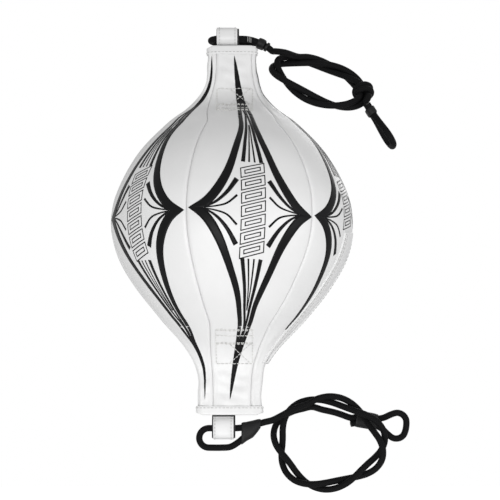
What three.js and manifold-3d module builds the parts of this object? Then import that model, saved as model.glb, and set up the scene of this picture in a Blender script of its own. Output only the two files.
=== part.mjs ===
// Double end bag: a white leather ball between two elastic cords, each hooked to an anchor.
// Millimetres. +Z runs up the bag's axis and -Y is the front. Pieces are drawn about the middle of the bag's ball,
// and the last lines move the whole object so that its origin is the middle of its box.
import * as THREE from 'three';
import { mergeVertices } from 'three/addons/utils/BufferGeometryUtils.js';
import Module from 'manifold-3d';

const wasm = await Module();
wasm.setup();

// ---- Driving dimensions ----
const GAP = 0.3; // between neighbouring pieces
const NECK_END = 164.9; // end of the leather at both necks
const BINDING_END = 166.5; // outer edge of both bindings
const BINDING_DEPTH = 8;
const BINDING_WALL = 1.3;
const SLOT_HALF = 3.9; // half the slot that the strap leaves through

const LEATHER = 1.6;
const LINING = 0.8;
const GORES = 6;
const GORE_COLUMNS = 4;
const BODY_ROWS = 22;
const FRONT_GORE_TURN = 10 / 360; // the front gore's centre line, in turns to the right

const STRAP_WIDTH = 20.5;
const WEBBING = 1.2;
const FACING = 0.9;
const TAIL_END = 104; // how far from the middle of the bag the strap tails reach

const CORD = 2.9; // radius
const SLEEVE_WALL = 1.0;
const END_EYE_WIDTH = 23; // between the cord's centre lines
const SEAT_RUN = 6; // straight run at the far end of each free eye

// The bag's outline: half width and half depth (mm) at each height
const HALF_WIDTH = [
  [-166, 28.8], [-152, 27.6], [-125, 30], [-107, 40.5], [-80, 65], [-53, 86.4], [-26, 102],
  [0, 107.6], [28, 104], [64, 85.5], [91, 62], [109, 39.6], [127, 25.7], [152, 21.6], [166, 22.3],
];
const HALF_DEPTH = [
  [-166, 5.4], [-140, 5.6], [-122, 8], [-107, 19], [-80, 58], [-53, 84], [-26, 101.5],
  [0, 107.6], [28, 103.5], [64, 82], [91, 50], [109, 19], [122, 8], [140, 5.6], [166, 5.4],
];

// ---- Numbers and curves ----
const clamp01 = (x) => Math.min(1, Math.max(0, x));
const smooth = (x) => clamp01(x) ** 2 * (3 - 2 * clamp01(x));
const mix = (a, b, t) => a + (b - a) * t;
const v3 = (x, y, z) => new THREE.Vector3(x, y, z);
const radians = THREE.MathUtils.degToRad;

/** A smooth curve through [height, value] points. */
function through(points, z) {
  const last = points.length - 1;
  let i = 0;
  while (i < last - 1 && z > points[i + 1][0]) i += 1;
  const slope = (j) => {
    const a = points[Math.max(0, j - 1)];
    const b = points[Math.min(last, j + 1)];
    return (b[1] - a[1]) / (b[0] - a[0]);
  };
  const [z0, p0] = points[i];
  const [z1, p1] = points[i + 1];
  const h = z1 - z0;
  const t = clamp01((z - z0) / h);
  const rise = (t ** 3 - 2 * t * t + t) * h * slope(i) + (t ** 3 - t * t) * h * slope(i + 1);
  return mix(p0, p1, t * t * (3 - 2 * t)) + rise;
}

const halfWidth = (z) => through(HALF_WIDTH, z);
const halfDepth = (z) => through(HALF_DEPTH, z);
const neckness = (z) => smooth((Math.abs(z) - 85) / 45); // 0 on the ball, 1 on the flat necks
const middleX = (z) => -1.8 * smooth((-60 - z) / 80); // the lower neck leans a little to the left

/** A point on the bag. turn is the share of the way round, from the front to the right. */
function bagPoint(turn, z, inset) {
  const table = sectionTable(z);
  const wanted = (turn - Math.floor(turn)) * (table.length - 1);
  const i = Math.min(Math.floor(wanted), table.length - 2);
  const [ca, cb] = [table[i], table[i + 1]];
  const x = mix(ca[0], cb[0], wanted - i) * (halfWidth(z) - inset);
  const y = mix(ca[1], cb[1], wanted - i) * (halfDepth(z) - inset);
  return v3(x + middleX(z), y, z);
}

/** The section's outline at one height, in equal steps along its length, for a unit width and depth. */
const tables = new Map();
function sectionTable(z) {
  if (tables.has(z)) return tables.get(z);
  const power = mix(1, 0.55, neckness(z));
  const fine = 720;
  const outline = [];
  for (let i = 0; i <= fine; i += 1) {
    const angle = (i / fine) * 2 * Math.PI;
    const [s, c] = [Math.sin(angle), Math.cos(angle)];
    outline.push([Math.sign(s) * Math.abs(s) ** power, -Math.sign(c) * Math.abs(c) ** power]);
  }
  const [a, b] = [halfWidth(z), halfDepth(z)];
  const along = [0];
  for (let i = 1; i <= fine; i += 1) {
    const dx = (outline[i][0] - outline[i - 1][0]) * a;
    const dy = (outline[i][1] - outline[i - 1][1]) * b;
    along.push(along[i - 1] + Math.hypot(dx, dy));
  }
  const steps = 360;
  const table = [];
  let j = 0;
  for (let k = 0; k <= steps; k += 1) {
    const target = (along[fine] * k) / steps;
    while (j < fine - 1 && along[j + 1] < target) j += 1;
    const t = (target - along[j]) / (along[j + 1] - along[j]);
    table.push([mix(outline[j][0], outline[j + 1][0], t), mix(outline[j][1], outline[j + 1][1], t)]);
  }
  table.around = along[fine];
  tables.set(z, table);
  return table;
}

/** Where seam k lies at height z, in turns. On the necks the front and rear gores take most of the width. */
function seamTurn(k, z) {
  const even = FRONT_GORE_TURN + (k - 0.5) / GORES;
  const front = z > 0 ? 0.33 : 0.276;
  const side = (1 - 2 * front) / 4;
  const round = Math.floor(k / 6);
  const starts = [0, front, front + side, front + 2 * side, 2 * front + 2 * side, 2 * front + 3 * side];
  const neck = 0.018 - front / 2 + starts[k - 6 * round] + round;
  return mix(even, neck, neckness(z));
}

// ---- Meshes ----
/** A closed geometry from a vertex list and triangles, with shared vertices merged. */
function geometryOf(vertices, triangles) {
  const geometry = new THREE.BufferGeometry();
  geometry.setAttribute('position', new THREE.Float32BufferAttribute(vertices.flatMap((p) => p.toArray()), 3));
  geometry.setIndex(triangles.flat());
  return geometry;
}

/** A solid through equal rings of points. Closed rings run anticlockwise seen from the far end. */
function loft(rings, looped = false) {
  const n = rings[0].length;
  const vertices = rings.flat();
  const triangles = [];
  const bands = looped ? rings.length : rings.length - 1;
  for (let i = 0; i < bands; i += 1) {
    const next = (i + 1) % rings.length;
    for (let j = 0; j < n; j += 1) {
      const k = (j + 1) % n;
      triangles.push([i * n + j, i * n + k, next * n + k]);
      triangles.push([i * n + j, next * n + k, next * n + j]);
    }
  }
  if (!looped) {
    for (let j = 1; j < n - 1; j += 1) {
      triangles.push([0, j + 1, j]);
      const far = (rings.length - 1) * n;
      triangles.push([far, far + j, far + j + 1]);
    }
  }
  return outward(geometryOf(vertices, triangles));
}

/** Turns a closed geometry inside out if its faces point in. */
function outward(geometry) {
  const p = geometry.getAttribute('position');
  const index = geometry.getIndex();
  const [a, b, c] = [v3(), v3(), v3()];
  let volume = 0;
  for (let i = 0; i < index.count; i += 3) {
    a.fromBufferAttribute(p, index.getX(i));
    b.fromBufferAttribute(p, index.getX(i + 1));
    c.fromBufferAttribute(p, index.getX(i + 2));
    volume += a.dot(b.cross(c));
  }
  if (volume > 0) return geometry;
  const flipped = [];
  for (let i = 0; i < index.count; i += 3) flipped.push(index.getX(i), index.getX(i + 2), index.getX(i + 1));
  geometry.setIndex(flipped);
  return geometry;
}

/** A straight prism along X from an outline of [y, z] points. */
function prismX(outline, x0, x1) {
  const shape = new THREE.Shape(outline.map(([y, z]) => new THREE.Vector2(y, z)));
  const geometry = new THREE.ExtrudeGeometry(shape, { depth: x1 - x0, bevelEnabled: false });
  geometry.rotateX(Math.PI / 2);
  geometry.rotateZ(Math.PI / 2);
  geometry.translate(x0, 0, 0);
  return geometry;
}

/** A line of [y, z] points moved sideways, to the left of its direction. */
function beside(line, distance) {
  return line.map(([y, z], i) => {
    const before = line[Math.max(0, i - 1)];
    const after = line[Math.min(line.length - 1, i + 1)];
    const d = new THREE.Vector2(after[0] - before[0], after[1] - before[1]).normalize();
    return [y - d.y * distance, z + d.x * distance];
  });
}

/** A flat strip across X, with a centre line of [y, z] points and a thickness. */
function ribbon(centreLine, thickness, x0, x1) {
  const near = beside(centreLine, thickness / 2);
  const far = beside(centreLine, -thickness / 2).reverse();
  return prismX([...near, ...far], x0, x1);
}

function toManifold(geometry) {
  const bare = new THREE.BufferGeometry();
  bare.setAttribute('position', geometry.getAttribute('position'));
  if (geometry.getIndex()) bare.setIndex(geometry.getIndex());
  const merged = mergeVertices(bare, 1e-4);
  const vertProperties = Float32Array.from(merged.getAttribute('position').array);
  const triVerts = Uint32Array.from(merged.getIndex().array);
  return new wasm.Manifold(new wasm.Mesh({ numProp: 3, vertProperties, triVerts }));
}

function fromManifold(solid) {
  const mesh = solid.getMesh();
  const geometry = new THREE.BufferGeometry();
  geometry.setAttribute('position', new THREE.BufferAttribute(Float32Array.from(mesh.vertProperties), 3));
  geometry.setIndex(new THREE.BufferAttribute(Uint32Array.from(mesh.triVerts), 1));
  return geometry;
}

const cut = (geometry, ...tools) =>
  fromManifold(tools.reduce((solid, tool) => solid.subtract(toManifold(tool)), toManifold(geometry)));
const join = (geometries) =>
  fromManifold(geometries.slice(1).reduce((solid, g) => solid.add(toManifold(g)), toManifold(geometries[0])));

// ---- Sweeps ----
/** Frames along a list of points, with the first side direction carried along without twist. */
function framesAlong(points, side) {
  const frames = [];
  let normal = side.clone();
  for (let i = 0; i < points.length; i += 1) {
    const before = points[Math.max(0, i - 1)];
    const after = points[Math.min(points.length - 1, i + 1)];
    const tangent = after.clone().sub(before).normalize();
    normal = normal.clone().addScaledVector(tangent, -normal.dot(tangent)).normalize();
    frames.push({ at: points[i], tangent, normal, binormal: tangent.clone().cross(normal) });
  }
  return frames;
}

function roundRing(frame, radius, sides, shift = 0) {
  const ring = [];
  for (let j = 0; j < sides; j += 1) {
    const angle = ((j + 0.5) / sides) * 2 * Math.PI;
    ring.push(frame.at.clone()
      .addScaledVector(frame.normal, radius * Math.cos(angle))
      .addScaledVector(frame.binormal, radius * Math.sin(angle))
      .addScaledVector(frame.tangent, shift));
  }
  return ring;
}

/** A cord along points. Each end is flat, or rounded about the end point. */
function cord(points, side, { sides = 8, roundStart = false, roundEnd = false, radius = CORD } = {}) {
  const frames = framesAlong(points, side);
  const rings = frames.map((frame) => roundRing(frame, radius, sides));
  const domed = [45, 80];
  const dome = (frame, way) => domed.map((angle) =>
    roundRing(frame, radius * Math.cos(radians(angle)), sides, way * radius * Math.sin(radians(angle))));
  if (roundStart) rings.unshift(...dome(frames[0], -1).reverse());
  if (roundEnd) rings.push(...dome(frames.at(-1), 1));
  return loft(rings);
}

/** A sleeve round one or two cords, cut square: each station has a centre, a half spacing and an inner radius. */
function sleeve(stations, side, wall = SLEEVE_WALL) {
  const tangent = stations.at(-1).at.clone().sub(stations[0].at);
  tangent.addScaledVector(side, -tangent.dot(side)).normalize();
  const binormal = tangent.clone().cross(side);
  const outline = ({ at, spread }, radius) => {
    const ring = [];
    for (let j = 0; j < 12; j += 1) {
      const angle = ((j + 0.5) / 12) * 2 * Math.PI;
      const across = Math.cos(angle) * radius + Math.sign(Math.cos(angle)) * spread;
      ring.push(at.clone().addScaledVector(side, across).addScaledVector(binormal, Math.sin(angle) * radius));
    }
    return ring;
  };
  const outer = stations.map((s) => outline(s, s.radius + wall));
  const inner = stations.map((s) => outline(s, s.radius));
  return loft([...outer, ...inner.reverse()], true);
}

// ---- Bag body ----
/** Heights evenly spaced along the outline. */
function bodyRows() {
  const fine = 400;
  const along = [0];
  const height = (i) => mix(-NECK_END, NECK_END, i / fine);
  for (let i = 1; i <= fine; i += 1) {
    const run = Math.hypot(height(i) - height(i - 1), halfDepth(height(i)) - halfDepth(height(i - 1)));
    along.push(along[i - 1] + run);
  }
  const rows = [];
  let j = 0;
  for (let k = 0; k <= BODY_ROWS; k += 1) {
    const target = (along[fine] * k) / BODY_ROWS;
    while (j < fine - 1 && along[j + 1] < target) j += 1;
    rows.push(k === BODY_ROWS ? NECK_END : mix(height(j), height(j + 1), clamp01(target - along[j])));
  }
  return rows;
}
const ROWS = bodyRows();

/** The turns of one gore's columns at a height, with half a seam gap left at each edge. */
function goreTurns(k, z) {
  const margin = GAP / 2 / sectionTable(z).around;
  const [from, to] = [seamTurn(k, z) + margin, seamTurn(k + 1, z) - margin];
  return Array.from({ length: GORE_COLUMNS + 1 }, (_, j) => mix(from, to, j / GORE_COLUMNS));
}

function panel(k) {
  const rings = ROWS.map((z) => {
    const turns = goreTurns(k, z);
    return [...turns.map((t) => bagPoint(t, z, 0)), ...turns.reverse().map((t) => bagPoint(t, z, LEATHER))];
  });
  return loftStrip(rings, GORE_COLUMNS);
}

/** A loft whose rings are thin bent strips: each end is capped by quads across the thickness. */
function loftStrip(rings, columns) {
  const n = rings[0].length;
  const triangles = [];
  for (let i = 0; i < rings.length - 1; i += 1) {
    for (let j = 0; j < n; j += 1) {
      const k = (j + 1) % n;
      triangles.push([i * n + j, i * n + k, (i + 1) * n + k], [i * n + j, (i + 1) * n + k, (i + 1) * n + j]);
    }
  }
  const far = (rings.length - 1) * n;
  for (let j = 0; j < columns; j += 1) {
    const back = n - 1 - j;
    triangles.push([j, back, back - 1], [j, back - 1, j + 1]);
    triangles.push([far + j, far + back - 1, far + back], [far + j, far + j + 1, far + back - 1]);
  }
  return outward(geometryOf(rings.flat(), triangles));
}

/** The lining lies close under the leather on the necks, and a little further in on the ball. */
const liningInset = (z) => LEATHER + mix(1.4, GAP, smooth((Math.abs(z) - 125) / 18));

function lining() {
  const ringAt = (z, inset) => {
    const ring = [];
    for (let k = 0; k < GORES; k += 1) ring.push(...goreTurns(k, z).slice(0, -1).map((t) => bagPoint(t, z, inset)));
    return ring;
  };
  const outer = ROWS.map((z) => ringAt(z, liningInset(z)));
  const inner = ROWS.map((z) => ringAt(z, liningInset(z) + LINING)).reverse();
  return loft([...outer, ...inner], true);
}

const BLADDER = { radius: 99, halfHeight: 88, middle: 3, wall: 1 };
function bladder() {
  const arc = (inset) => {
    const points = [];
    for (let i = 0; i <= 12; i += 1) {
      const angle = mix(-90, 90, i / 12);
      const r = i % 12 === 0 ? 0 : (BLADDER.radius - inset) * Math.cos(radians(angle));
      const z = BLADDER.middle + (BLADDER.halfHeight - inset) * Math.sin(radians(angle));
      points.push(new THREE.Vector2(r, z));
    }
    const ball = new THREE.LatheGeometry(points, 24);
    ball.rotateX(Math.PI / 2);
    return ball;
  };
  return cut(arc(0), arc(BLADDER.wall));
}

// The valve's axis leaves the bag behind, on the right
const VALVE_TURN = 130 / 360;
const VALVE = { height: -45, stem: 4, flange: 8, flangeThickness: 1.5, bore: 0.9 };
const valveMouth = bagPoint(VALVE_TURN, VALVE.height, 0.6);
const VALVE_DIP = 0.62; // the valve points down by this share, square to the leather
const valveAxis = v3(valveMouth.x, valveMouth.y, -VALVE_DIP * Math.hypot(valveMouth.x, valveMouth.y)).normalize();

/** A turned piece along the valve's axis: [radius, distance in from the mouth] pairs. */
function alongValve(profile, segments = 16) {
  const points = profile.map(([r, depth]) => new THREE.Vector2(r, -depth));
  const geometry = new THREE.LatheGeometry(points, segments);
  geometry.applyQuaternion(new THREE.Quaternion().setFromUnitVectors(v3(0, 1, 0), valveAxis));
  geometry.translate(valveMouth.x, valveMouth.y, valveMouth.z);
  return geometry;
}

/** How deep along the valve's axis the bladder's inner skin lies. */
function bladderDepth() {
  const inside = (depth) => {
    const p = valveMouth.clone().addScaledVector(valveAxis, -depth);
    const r = Math.hypot(p.x, p.y) / (BLADDER.radius - BLADDER.wall);
    return r ** 2 + ((p.z - BLADDER.middle) / (BLADDER.halfHeight - BLADDER.wall)) ** 2 < 1;
  };
  let depth = 0;
  while (!inside(depth)) depth += 0.1;
  return depth;
}
const FLANGE_DEPTH = bladderDepth() + 2.8;

function valve() {
  const { stem, flange, flangeThickness, bore } = VALVE;
  const bottom = FLANGE_DEPTH + flangeThickness;
  const profile = [[bore, 0], [bore, bottom], [flange, bottom], [flange, FLANGE_DEPTH], [stem, FLANGE_DEPTH], [stem, 0]];
  return outward(alongValve([...profile, profile[0]]));
}
const valveHole = () => outward(alongValve([[0, -9], [VALVE.stem + GAP, -9], [VALVE.stem + GAP, 40], [0, 40]]));

// ---- Closing strip ----
const STRIP = { low: -120, high: -6, halfWidth: 8, thickness: 1.0, rows: 14 };
function closingStrip() {
  const rings = [];
  for (let i = 0; i <= STRIP.rows; i += 1) {
    const z = mix(STRIP.low, STRIP.high, i / STRIP.rows);
    const half = (STRIP.halfWidth * Math.min(1, 0.5 + (halfWidth(z) / 80))) / sectionTable(z).around;
    const turns = [-1, -0.33, 0.33, 1].map((s) => seamTurn(2, z) + s * half);
    const lift = GAP + 1.4; // clears the flat facets of the gores under it
    rings.push([
      ...turns.map((t) => bagPoint(t, z, -lift - STRIP.thickness)),
      ...turns.reverse().map((t) => bagPoint(t, z, -lift)),
    ]);
  }
  return loftStrip(rings, 3);
}

// ---- Bindings, strap tails and stitching ----
function neckBand(end, inset, from, to) {
  const rings = [from, to].map((z) => {
    const ring = [];
    for (let j = 0; j < 36; j += 1) ring.push(bagPoint(j / 36, end * NECK_END, inset).setZ(end * z));
    return ring;
  });
  return loft(rings);
}

function binding(end) {
  const outer = neckBand(end, -2 * GAP - BINDING_WALL, BINDING_END - BINDING_DEPTH, BINDING_END);
  const inner = neckBand(end, -2 * GAP, BINDING_END - 2 * BINDING_DEPTH, BINDING_END - BINDING_WALL);
  const slot = new THREE.BoxGeometry(STRAP_WIDTH + 1.2, 2 * SLOT_HALF, 20);
  slot.translate(STRAP_X[end], 0, end * BINDING_END);
  return cut(outer, inner, slot);
}
const STRAP_X = { 1: -4, '-1': -7 };
const strapSpan = (end) => [STRAP_X[end] - STRAP_WIDTH / 2, STRAP_X[end] + STRAP_WIDTH / 2];

/** A strap tail under the front gore (side -1) or the rear gore (side 1). */
function strapTail(end, side) {
  const underGore = LEATHER + LINING + 3 * GAP + WEBBING / 2;
  const line = [];
  for (let i = 0; i <= 8; i += 1) {
    const z = mix(TAIL_END, NECK_END - 0.8, i / 8);
    const flat = 0.2 + WEBBING / 2;
    const room = Math.max(0, 0.93 * halfDepth(end * z) - underGore - 0.6 - flat);
    line.push([side * (flat + room ** 2 / (room + 3)), end * z]);
  }
  return ribbon(line, WEBBING, ...strapSpan(end));
}

/** The box, its cross and two more rows, as one thread lying on the front or rear gore. */
const BOX = { 1: [99.5, 126, 107.5], '-1': [93.2, 121.5, 103.9] };
function boxStitching(end, side) {
  const [near, far, crossFrom] = BOX[end];
  const middle = (near + crossFrom) / 2;
  const [left, right] = strapSpan(end).map((x) => x - Math.sign(x - STRAP_X[end]) * 1.2);
  const lift = 2.4; // clears the flat facets of the gore under it
  const onGore = (x, z) => {
    const height = end * z;
    const reach = (x - middleX(height)) / halfWidth(height);
    const power = 2 / mix(1, 0.55, neckness(height));
    const y = (1 - Math.abs(reach) ** power) ** (1 / power) * halfDepth(height);
    return v3(x, side * (y + lift), height);
  };
  const line = (x0, z0, x1, z1) => {
    const points = [];
    for (let i = 0; i <= 3; i += 1) points.push(onGore(mix(x0, x1, i / 3), mix(z0, z1, i / 3)));
    return cord(points, v3(0, 1, 0), { sides: 4, radius: 0.4 });
  };
  const rows = [near, middle, crossFrom, far].map((z) => line(left - 0.3, z, right + 0.3, z));
  const sides = [left, right].map((x) => line(x, near - 0.3, x, far + 0.3));
  const cross = [line(left, crossFrom, right, far), line(right, crossFrom, left, far)];
  return join([...rows, ...sides, ...cross]);
}

// ---- Strap loops ----
const LOOP = { 1: { reach: 18, half: 4.5 }, '-1': { reach: 21.5, half: 4.5 } };

/** The webbing's centre line round the loop, in [y, z], from the rear root to the front root. */
function loopLine(end) {
  const { reach, half } = LOOP[end];
  const root = 0.15 + WEBBING / 2;
  const top = reach - WEBBING / 2 - GAP - FACING;
  const side = [[root, -0.5], [root, 2.6], [mix(root, half, 0.5), 4.6], [half, 7.4], [half, top - half]];
  for (const angle of [30, 60]) {
    side.push([half * Math.cos(radians(angle)), top - half + half * Math.sin(radians(angle))]);
  }
  const mirrored = side.map(([y, h]) => [-y, h]).reverse();
  return [...side, [0, top], ...mirrored].map(([y, h]) => [y, end * (BINDING_END + h)]);
}
const loopWebbing = (end) => ribbon(loopLine(end), WEBBING, ...strapSpan(end));
function loopFacing(end) {
  const outwards = -end * ((WEBBING + FACING) / 2 + GAP);
  const line = beside(loopLine(end), outwards);
  line[0][1] += end * 1.3;
  line.at(-1)[1] += end * 1.3;
  return ribbon(line, FACING, ...strapSpan(end));
}

// ---- Cord eyes ----
const smoothPath = (points, steps) => new THREE.CatmullRomCurve3(points, false, 'centripetal').getPoints(steps);
const arcPoints = (centre, radius, u, v, from, to, steps) =>
  Array.from({ length: steps + 1 }, (_, i) => {
    const angle = radians(mix(from, to, i / steps));
    return centre.clone().addScaledVector(u, radius * Math.cos(angle)).addScaledVector(v, radius * Math.sin(angle));
  });

const AXES = { x: v3(1, 0, 0), y: v3(0, 1, 0), z: v3(0, 0, 1) };
const TOP_PIVOT = v3(36.5, 0, 162.5); // where the top coil flexes from its strap eye
const BOTTOM_PIVOT = v3(30, 0, -172.5);
const EYE_HEIGHT = { 1: 174, '-1': -178 }; // the eye's straight leg, through the strap loop

function topStrapEye() {
  const z = EYE_HEIGHT[1];
  const bend = 7;
  const legA = smoothPath([v3(33.6, 0, 165), v3(29, 0, 168), v3(22.5, 0, 171.2), v3(14, 0, 173.6), v3(6, 0, z)], 8);
  const bight = arcPoints(v3(-12.5, bend, z), bend, AXES.x, AXES.y, 270, 90, 10);
  const legB = smoothPath([v3(6, 2 * bend, z), v3(14, 10.6, 173.6), v3(22.5, 7.2, 171.5), v3(27.6, 7, 169.2)], 8);
  return cord([...legA, ...bight, ...legB], AXES.z);
}

function topEyeSleeve() {
  const stations = [
    { at: v3(26.8, 3.5, 169.6), spread: 3.7, radius: CORD + 0.7 },
    { at: v3(28.3, 3.2, 168.8), spread: 3.4, radius: CORD + 0.7 },
    { at: v3(29.7, 1.8, 167.8), spread: 2.1, radius: CORD + 0.6 },
  ];
  return sleeve(stations, AXES.y);
}

const topEyeWhipping = () => sleeve([
  { at: v3(30.6, 0, 166.95), spread: 0, radius: CORD + 0.3 },
  { at: v3(32.6, 0, 165.6), spread: 0, radius: CORD + 0.3 },
], AXES.y, 1.5);

function bottomStrapEye() {
  const z = EYE_HEIGHT['-1'];
  const bend = 8.5;
  const legA = smoothPath([v3(26.6, 0, -173.4), v3(18, 0, -175.8), v3(10, 0, -177.4), v3(4, 0, z)], 6);
  const bight = arcPoints(v3(-20, 0, z - bend), bend, AXES.x, AXES.z, 90, 270, 10);
  const legB = smoothPath([v3(-8, 0, z - 2 * bend), v3(0, 0, -194.6),
    v3(6, 0, -190.2), v3(12, 0, -184.8), v3(18, 0, -182.3)], 9);
  return cord([...legA, ...bight, ...legB], AXES.y);
}

function bottomEyeSleeve() {
  const stations = [
    { at: v3(8.6, 0, -182.9), spread: 5.8, radius: CORD + 0.7 },
    { at: v3(13, 0, -180.9), spread: 4.3, radius: CORD + 0.6 },
    { at: v3(19, 0, -178.6), spread: 3.3, radius: CORD + 0.7 },
    { at: v3(25.6, 0, -173.8), spread: 0.2, radius: CORD + 0.6 },
  ];
  return sleeve(stations, AXES.z);
}

/** A free end eye from its pivot: out along `along`, held together by its sleeve, then opening across. */
function endEyePath({ pivot, along, across, length, held }) {
  const half = END_EYE_WIDTH / 2;
  const corner = half - SEAT_RUN / 2;
  const at = (u, v) => pivot.clone().addScaledVector(along, u).addScaledVector(across, v);
  const open = [0, 0.3, 0.6, 0.85];
  const legs = (side) => [
    at(10, side * 3.2),
    ...open.map((t) => at(mix(held, length - corner, t), side * mix(3.2, half, smooth(t)))),
  ];
  const bend = (side) => [0, 30, 60, 90].map((a) => {
    const angle = radians(a);
    const u = length - corner + corner * Math.sin(angle);
    return at(u, side * (SEAT_RUN / 2 + corner * Math.cos(angle)));
  });
  return [
    at(3.8, 0), at(6, 0.8), ...legs(1), ...bend(1),
    ...bend(-1).reverse(), ...legs(-1).reverse(),
  ];
}

const END = {
  1: { pivot: v3(119.5, -14, 111.5), along: v3(25, 0, -40).normalize(), across: AXES.y, length: 46, held: 13 },
  '-1': { pivot: v3(104, 12, -168.3), along: v3(40.5, 6, -7).normalize(), across: AXES.z, length: 53, held: 26 },
};
for (const way of Object.values(END)) {
  way.across = way.across.clone().addScaledVector(way.along, -way.across.dot(way.along)).normalize();
}
const endEye = (end) => cord(endEyePath(END[end]), END[end].across.clone().cross(END[end].along));
function endSleeve(end) {
  const { pivot, along, across, held } = END[end];
  const at = (u, spread) => ({ at: pivot.clone().addScaledVector(along, u), spread, radius: CORD + 0.5 });
  return sleeve([at(4.4, 1.8), at(9, 3.4), at(held, 3.5)], across);
}

// ---- Coils ----
/** A coil of several turns whose strands twist round each other. */
function coilPath({ centre, u, v, long, short, start, sweep, twist, phase, offset, spread }) {
  const points = [];
  const steps = Math.round(sweep / 12);
  for (let i = 0; i <= steps; i += 1) {
    const swept = (sweep * i) / steps;
    const angle = radians(start - swept);
    const radial = u.clone().multiplyScalar(Math.cos(angle) * short)
      .addScaledVector(v, Math.sin(angle) * long).normalize();
    const turn = radians(phase + twist * swept);
    const away = offset * (1 + spread * Math.cos(angle) ** 2);
    points.push(centre.clone()
      .addScaledVector(u, long * Math.cos(angle))
      .addScaledVector(v, short * Math.sin(angle))
      .addScaledVector(radial, away * Math.cos(turn))
      .addScaledVector(u.clone().cross(v).negate(), away * Math.sin(turn)));
  }
  return points;
}

function topCoil() {
  const tilt = radians(16);
  const lean = radians(45);
  const up = v3(Math.sin(tilt), 0, Math.cos(tilt));
  const v = up.multiplyScalar(Math.cos(lean)).addScaledVector(AXES.y, Math.sin(lean));
  const ring = coilPath({
    centre: v3(80.5, -9, 133), u: v3(Math.cos(tilt), 0, -Math.sin(tilt)), v, long: 43, short: 26,
    start: 128, sweep: 838, twist: 4 / 3, phase: -90, offset: 3.7, spread: 0.1,
  });
  const path = [TOP_PIVOT, v3(41.5, -5, 160.5), v3(47, -8.6, 157.5), ...ring, v3(122.6, -12.5, 117.5), END[1].pivot];
  return cord(path, AXES.y, { sides: 6, roundStart: true, roundEnd: true });
}

function bottomCoil() {
  const tilt = radians(9);
  const u = v3(Math.cos(tilt), -Math.sin(tilt), 0);
  const ring = coilPath({
    centre: v3(85.5, 6, -190.8), u, v: AXES.z, long: 45.7, short: 37.2,
    start: 112, sweep: 722, twist: 10 / 3, phase: -90, offset: 3.7, spread: 0.3,
  });
  const path = [BOTTOM_PIVOT, v3(36, 0.5, -171), v3(44, 1.5, -167), v3(55, 2.5, -161), ...ring,
    v3(80, 9.5, -161.5), v3(93, 11, -164.5), END['-1'].pivot];
  return cord(path, AXES.y, { sides: 6, roundStart: true, roundEnd: true });
}

// ---- Materials and assembly ----
const material = (color, roughness) => new THREE.MeshStandardMaterial({ color, roughness, metalness: 0 });
const leather = material(0xe9e9e8, 0.42);
const cloth = material(0xb9b9b6, 0.9);
const latex = material(0x2a2a2b, 0.6);
const webbing = material(0x151516, 0.85);
const elastic = material(0x1b1b1c, 0.7);
const shrink = material(0x202022, 0.5);
const thread = material(0xdcdcda, 0.8);

const bag = new THREE.Group();
bag.name = 'double_end_bag';
function add(name, geometry, look) {
  const mesh = new THREE.Mesh(geometry, look);
  mesh.name = name;
  bag.add(mesh);
}

for (let k = 0; k < GORES; k += 1) add(`panel_${k + 1}`, k === 2 ? cut(panel(k), valveHole()) : panel(k), leather);
add('lining', cut(lining(), valveHole()), cloth);
add('bladder', cut(bladder(), valveHole()), latex);
add('bladder_valve', valve(), latex);
add('closure_strip', closingStrip(), leather);

for (const [name, end] of [['top', 1], ['bottom', -1]]) {
  add(`${name}_binding`, binding(end), leather);
  add(`${name}_front_tail`, strapTail(end, -1), webbing);
  add(`${name}_rear_tail`, strapTail(end, 1), webbing);
  add(`${name}_front_stitching`, boxStitching(end, -1), thread);
  add(`${name}_rear_stitching`, boxStitching(end, 1), thread);
  add(`${name}_loop_webbing`, loopWebbing(end), webbing);
  add(`${name}_loop_facing`, loopFacing(end), leather);
}

add('top_strap_eye', topStrapEye(), elastic);
add('top_eye_sleeve', topEyeSleeve(), shrink);
add('top_eye_whipping', topEyeWhipping(), shrink);
add('top_coil', topCoil(), elastic);
add('top_end_eye', endEye(1), elastic);
add('top_end_sleeve', endSleeve(1), shrink);

add('bottom_strap_eye', bottomStrapEye(), elastic);
add('bottom_eye_sleeve', bottomEyeSleeve(), shrink);
add('bottom_coil', bottomCoil(), elastic);
add('bottom_end_eye', endEye(-1), elastic);
add('bottom_end_sleeve', endSleeve(-1), shrink);

// The part's frame has its origin at the middle of the box that holds everything
const middle = new THREE.Box3().setFromObject(bag).getCenter(v3());
bag.position.sub(middle);

export default bag;
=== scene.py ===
"""The looks of a double end bag: a six-gore leather ball with two strap loops and two coiled elastic cords.

All sizes are in millimetres in the bag's own frame, whose origin is the middle of the lining. put() turns
them into metres in the row's frame.
"""
import math

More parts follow.
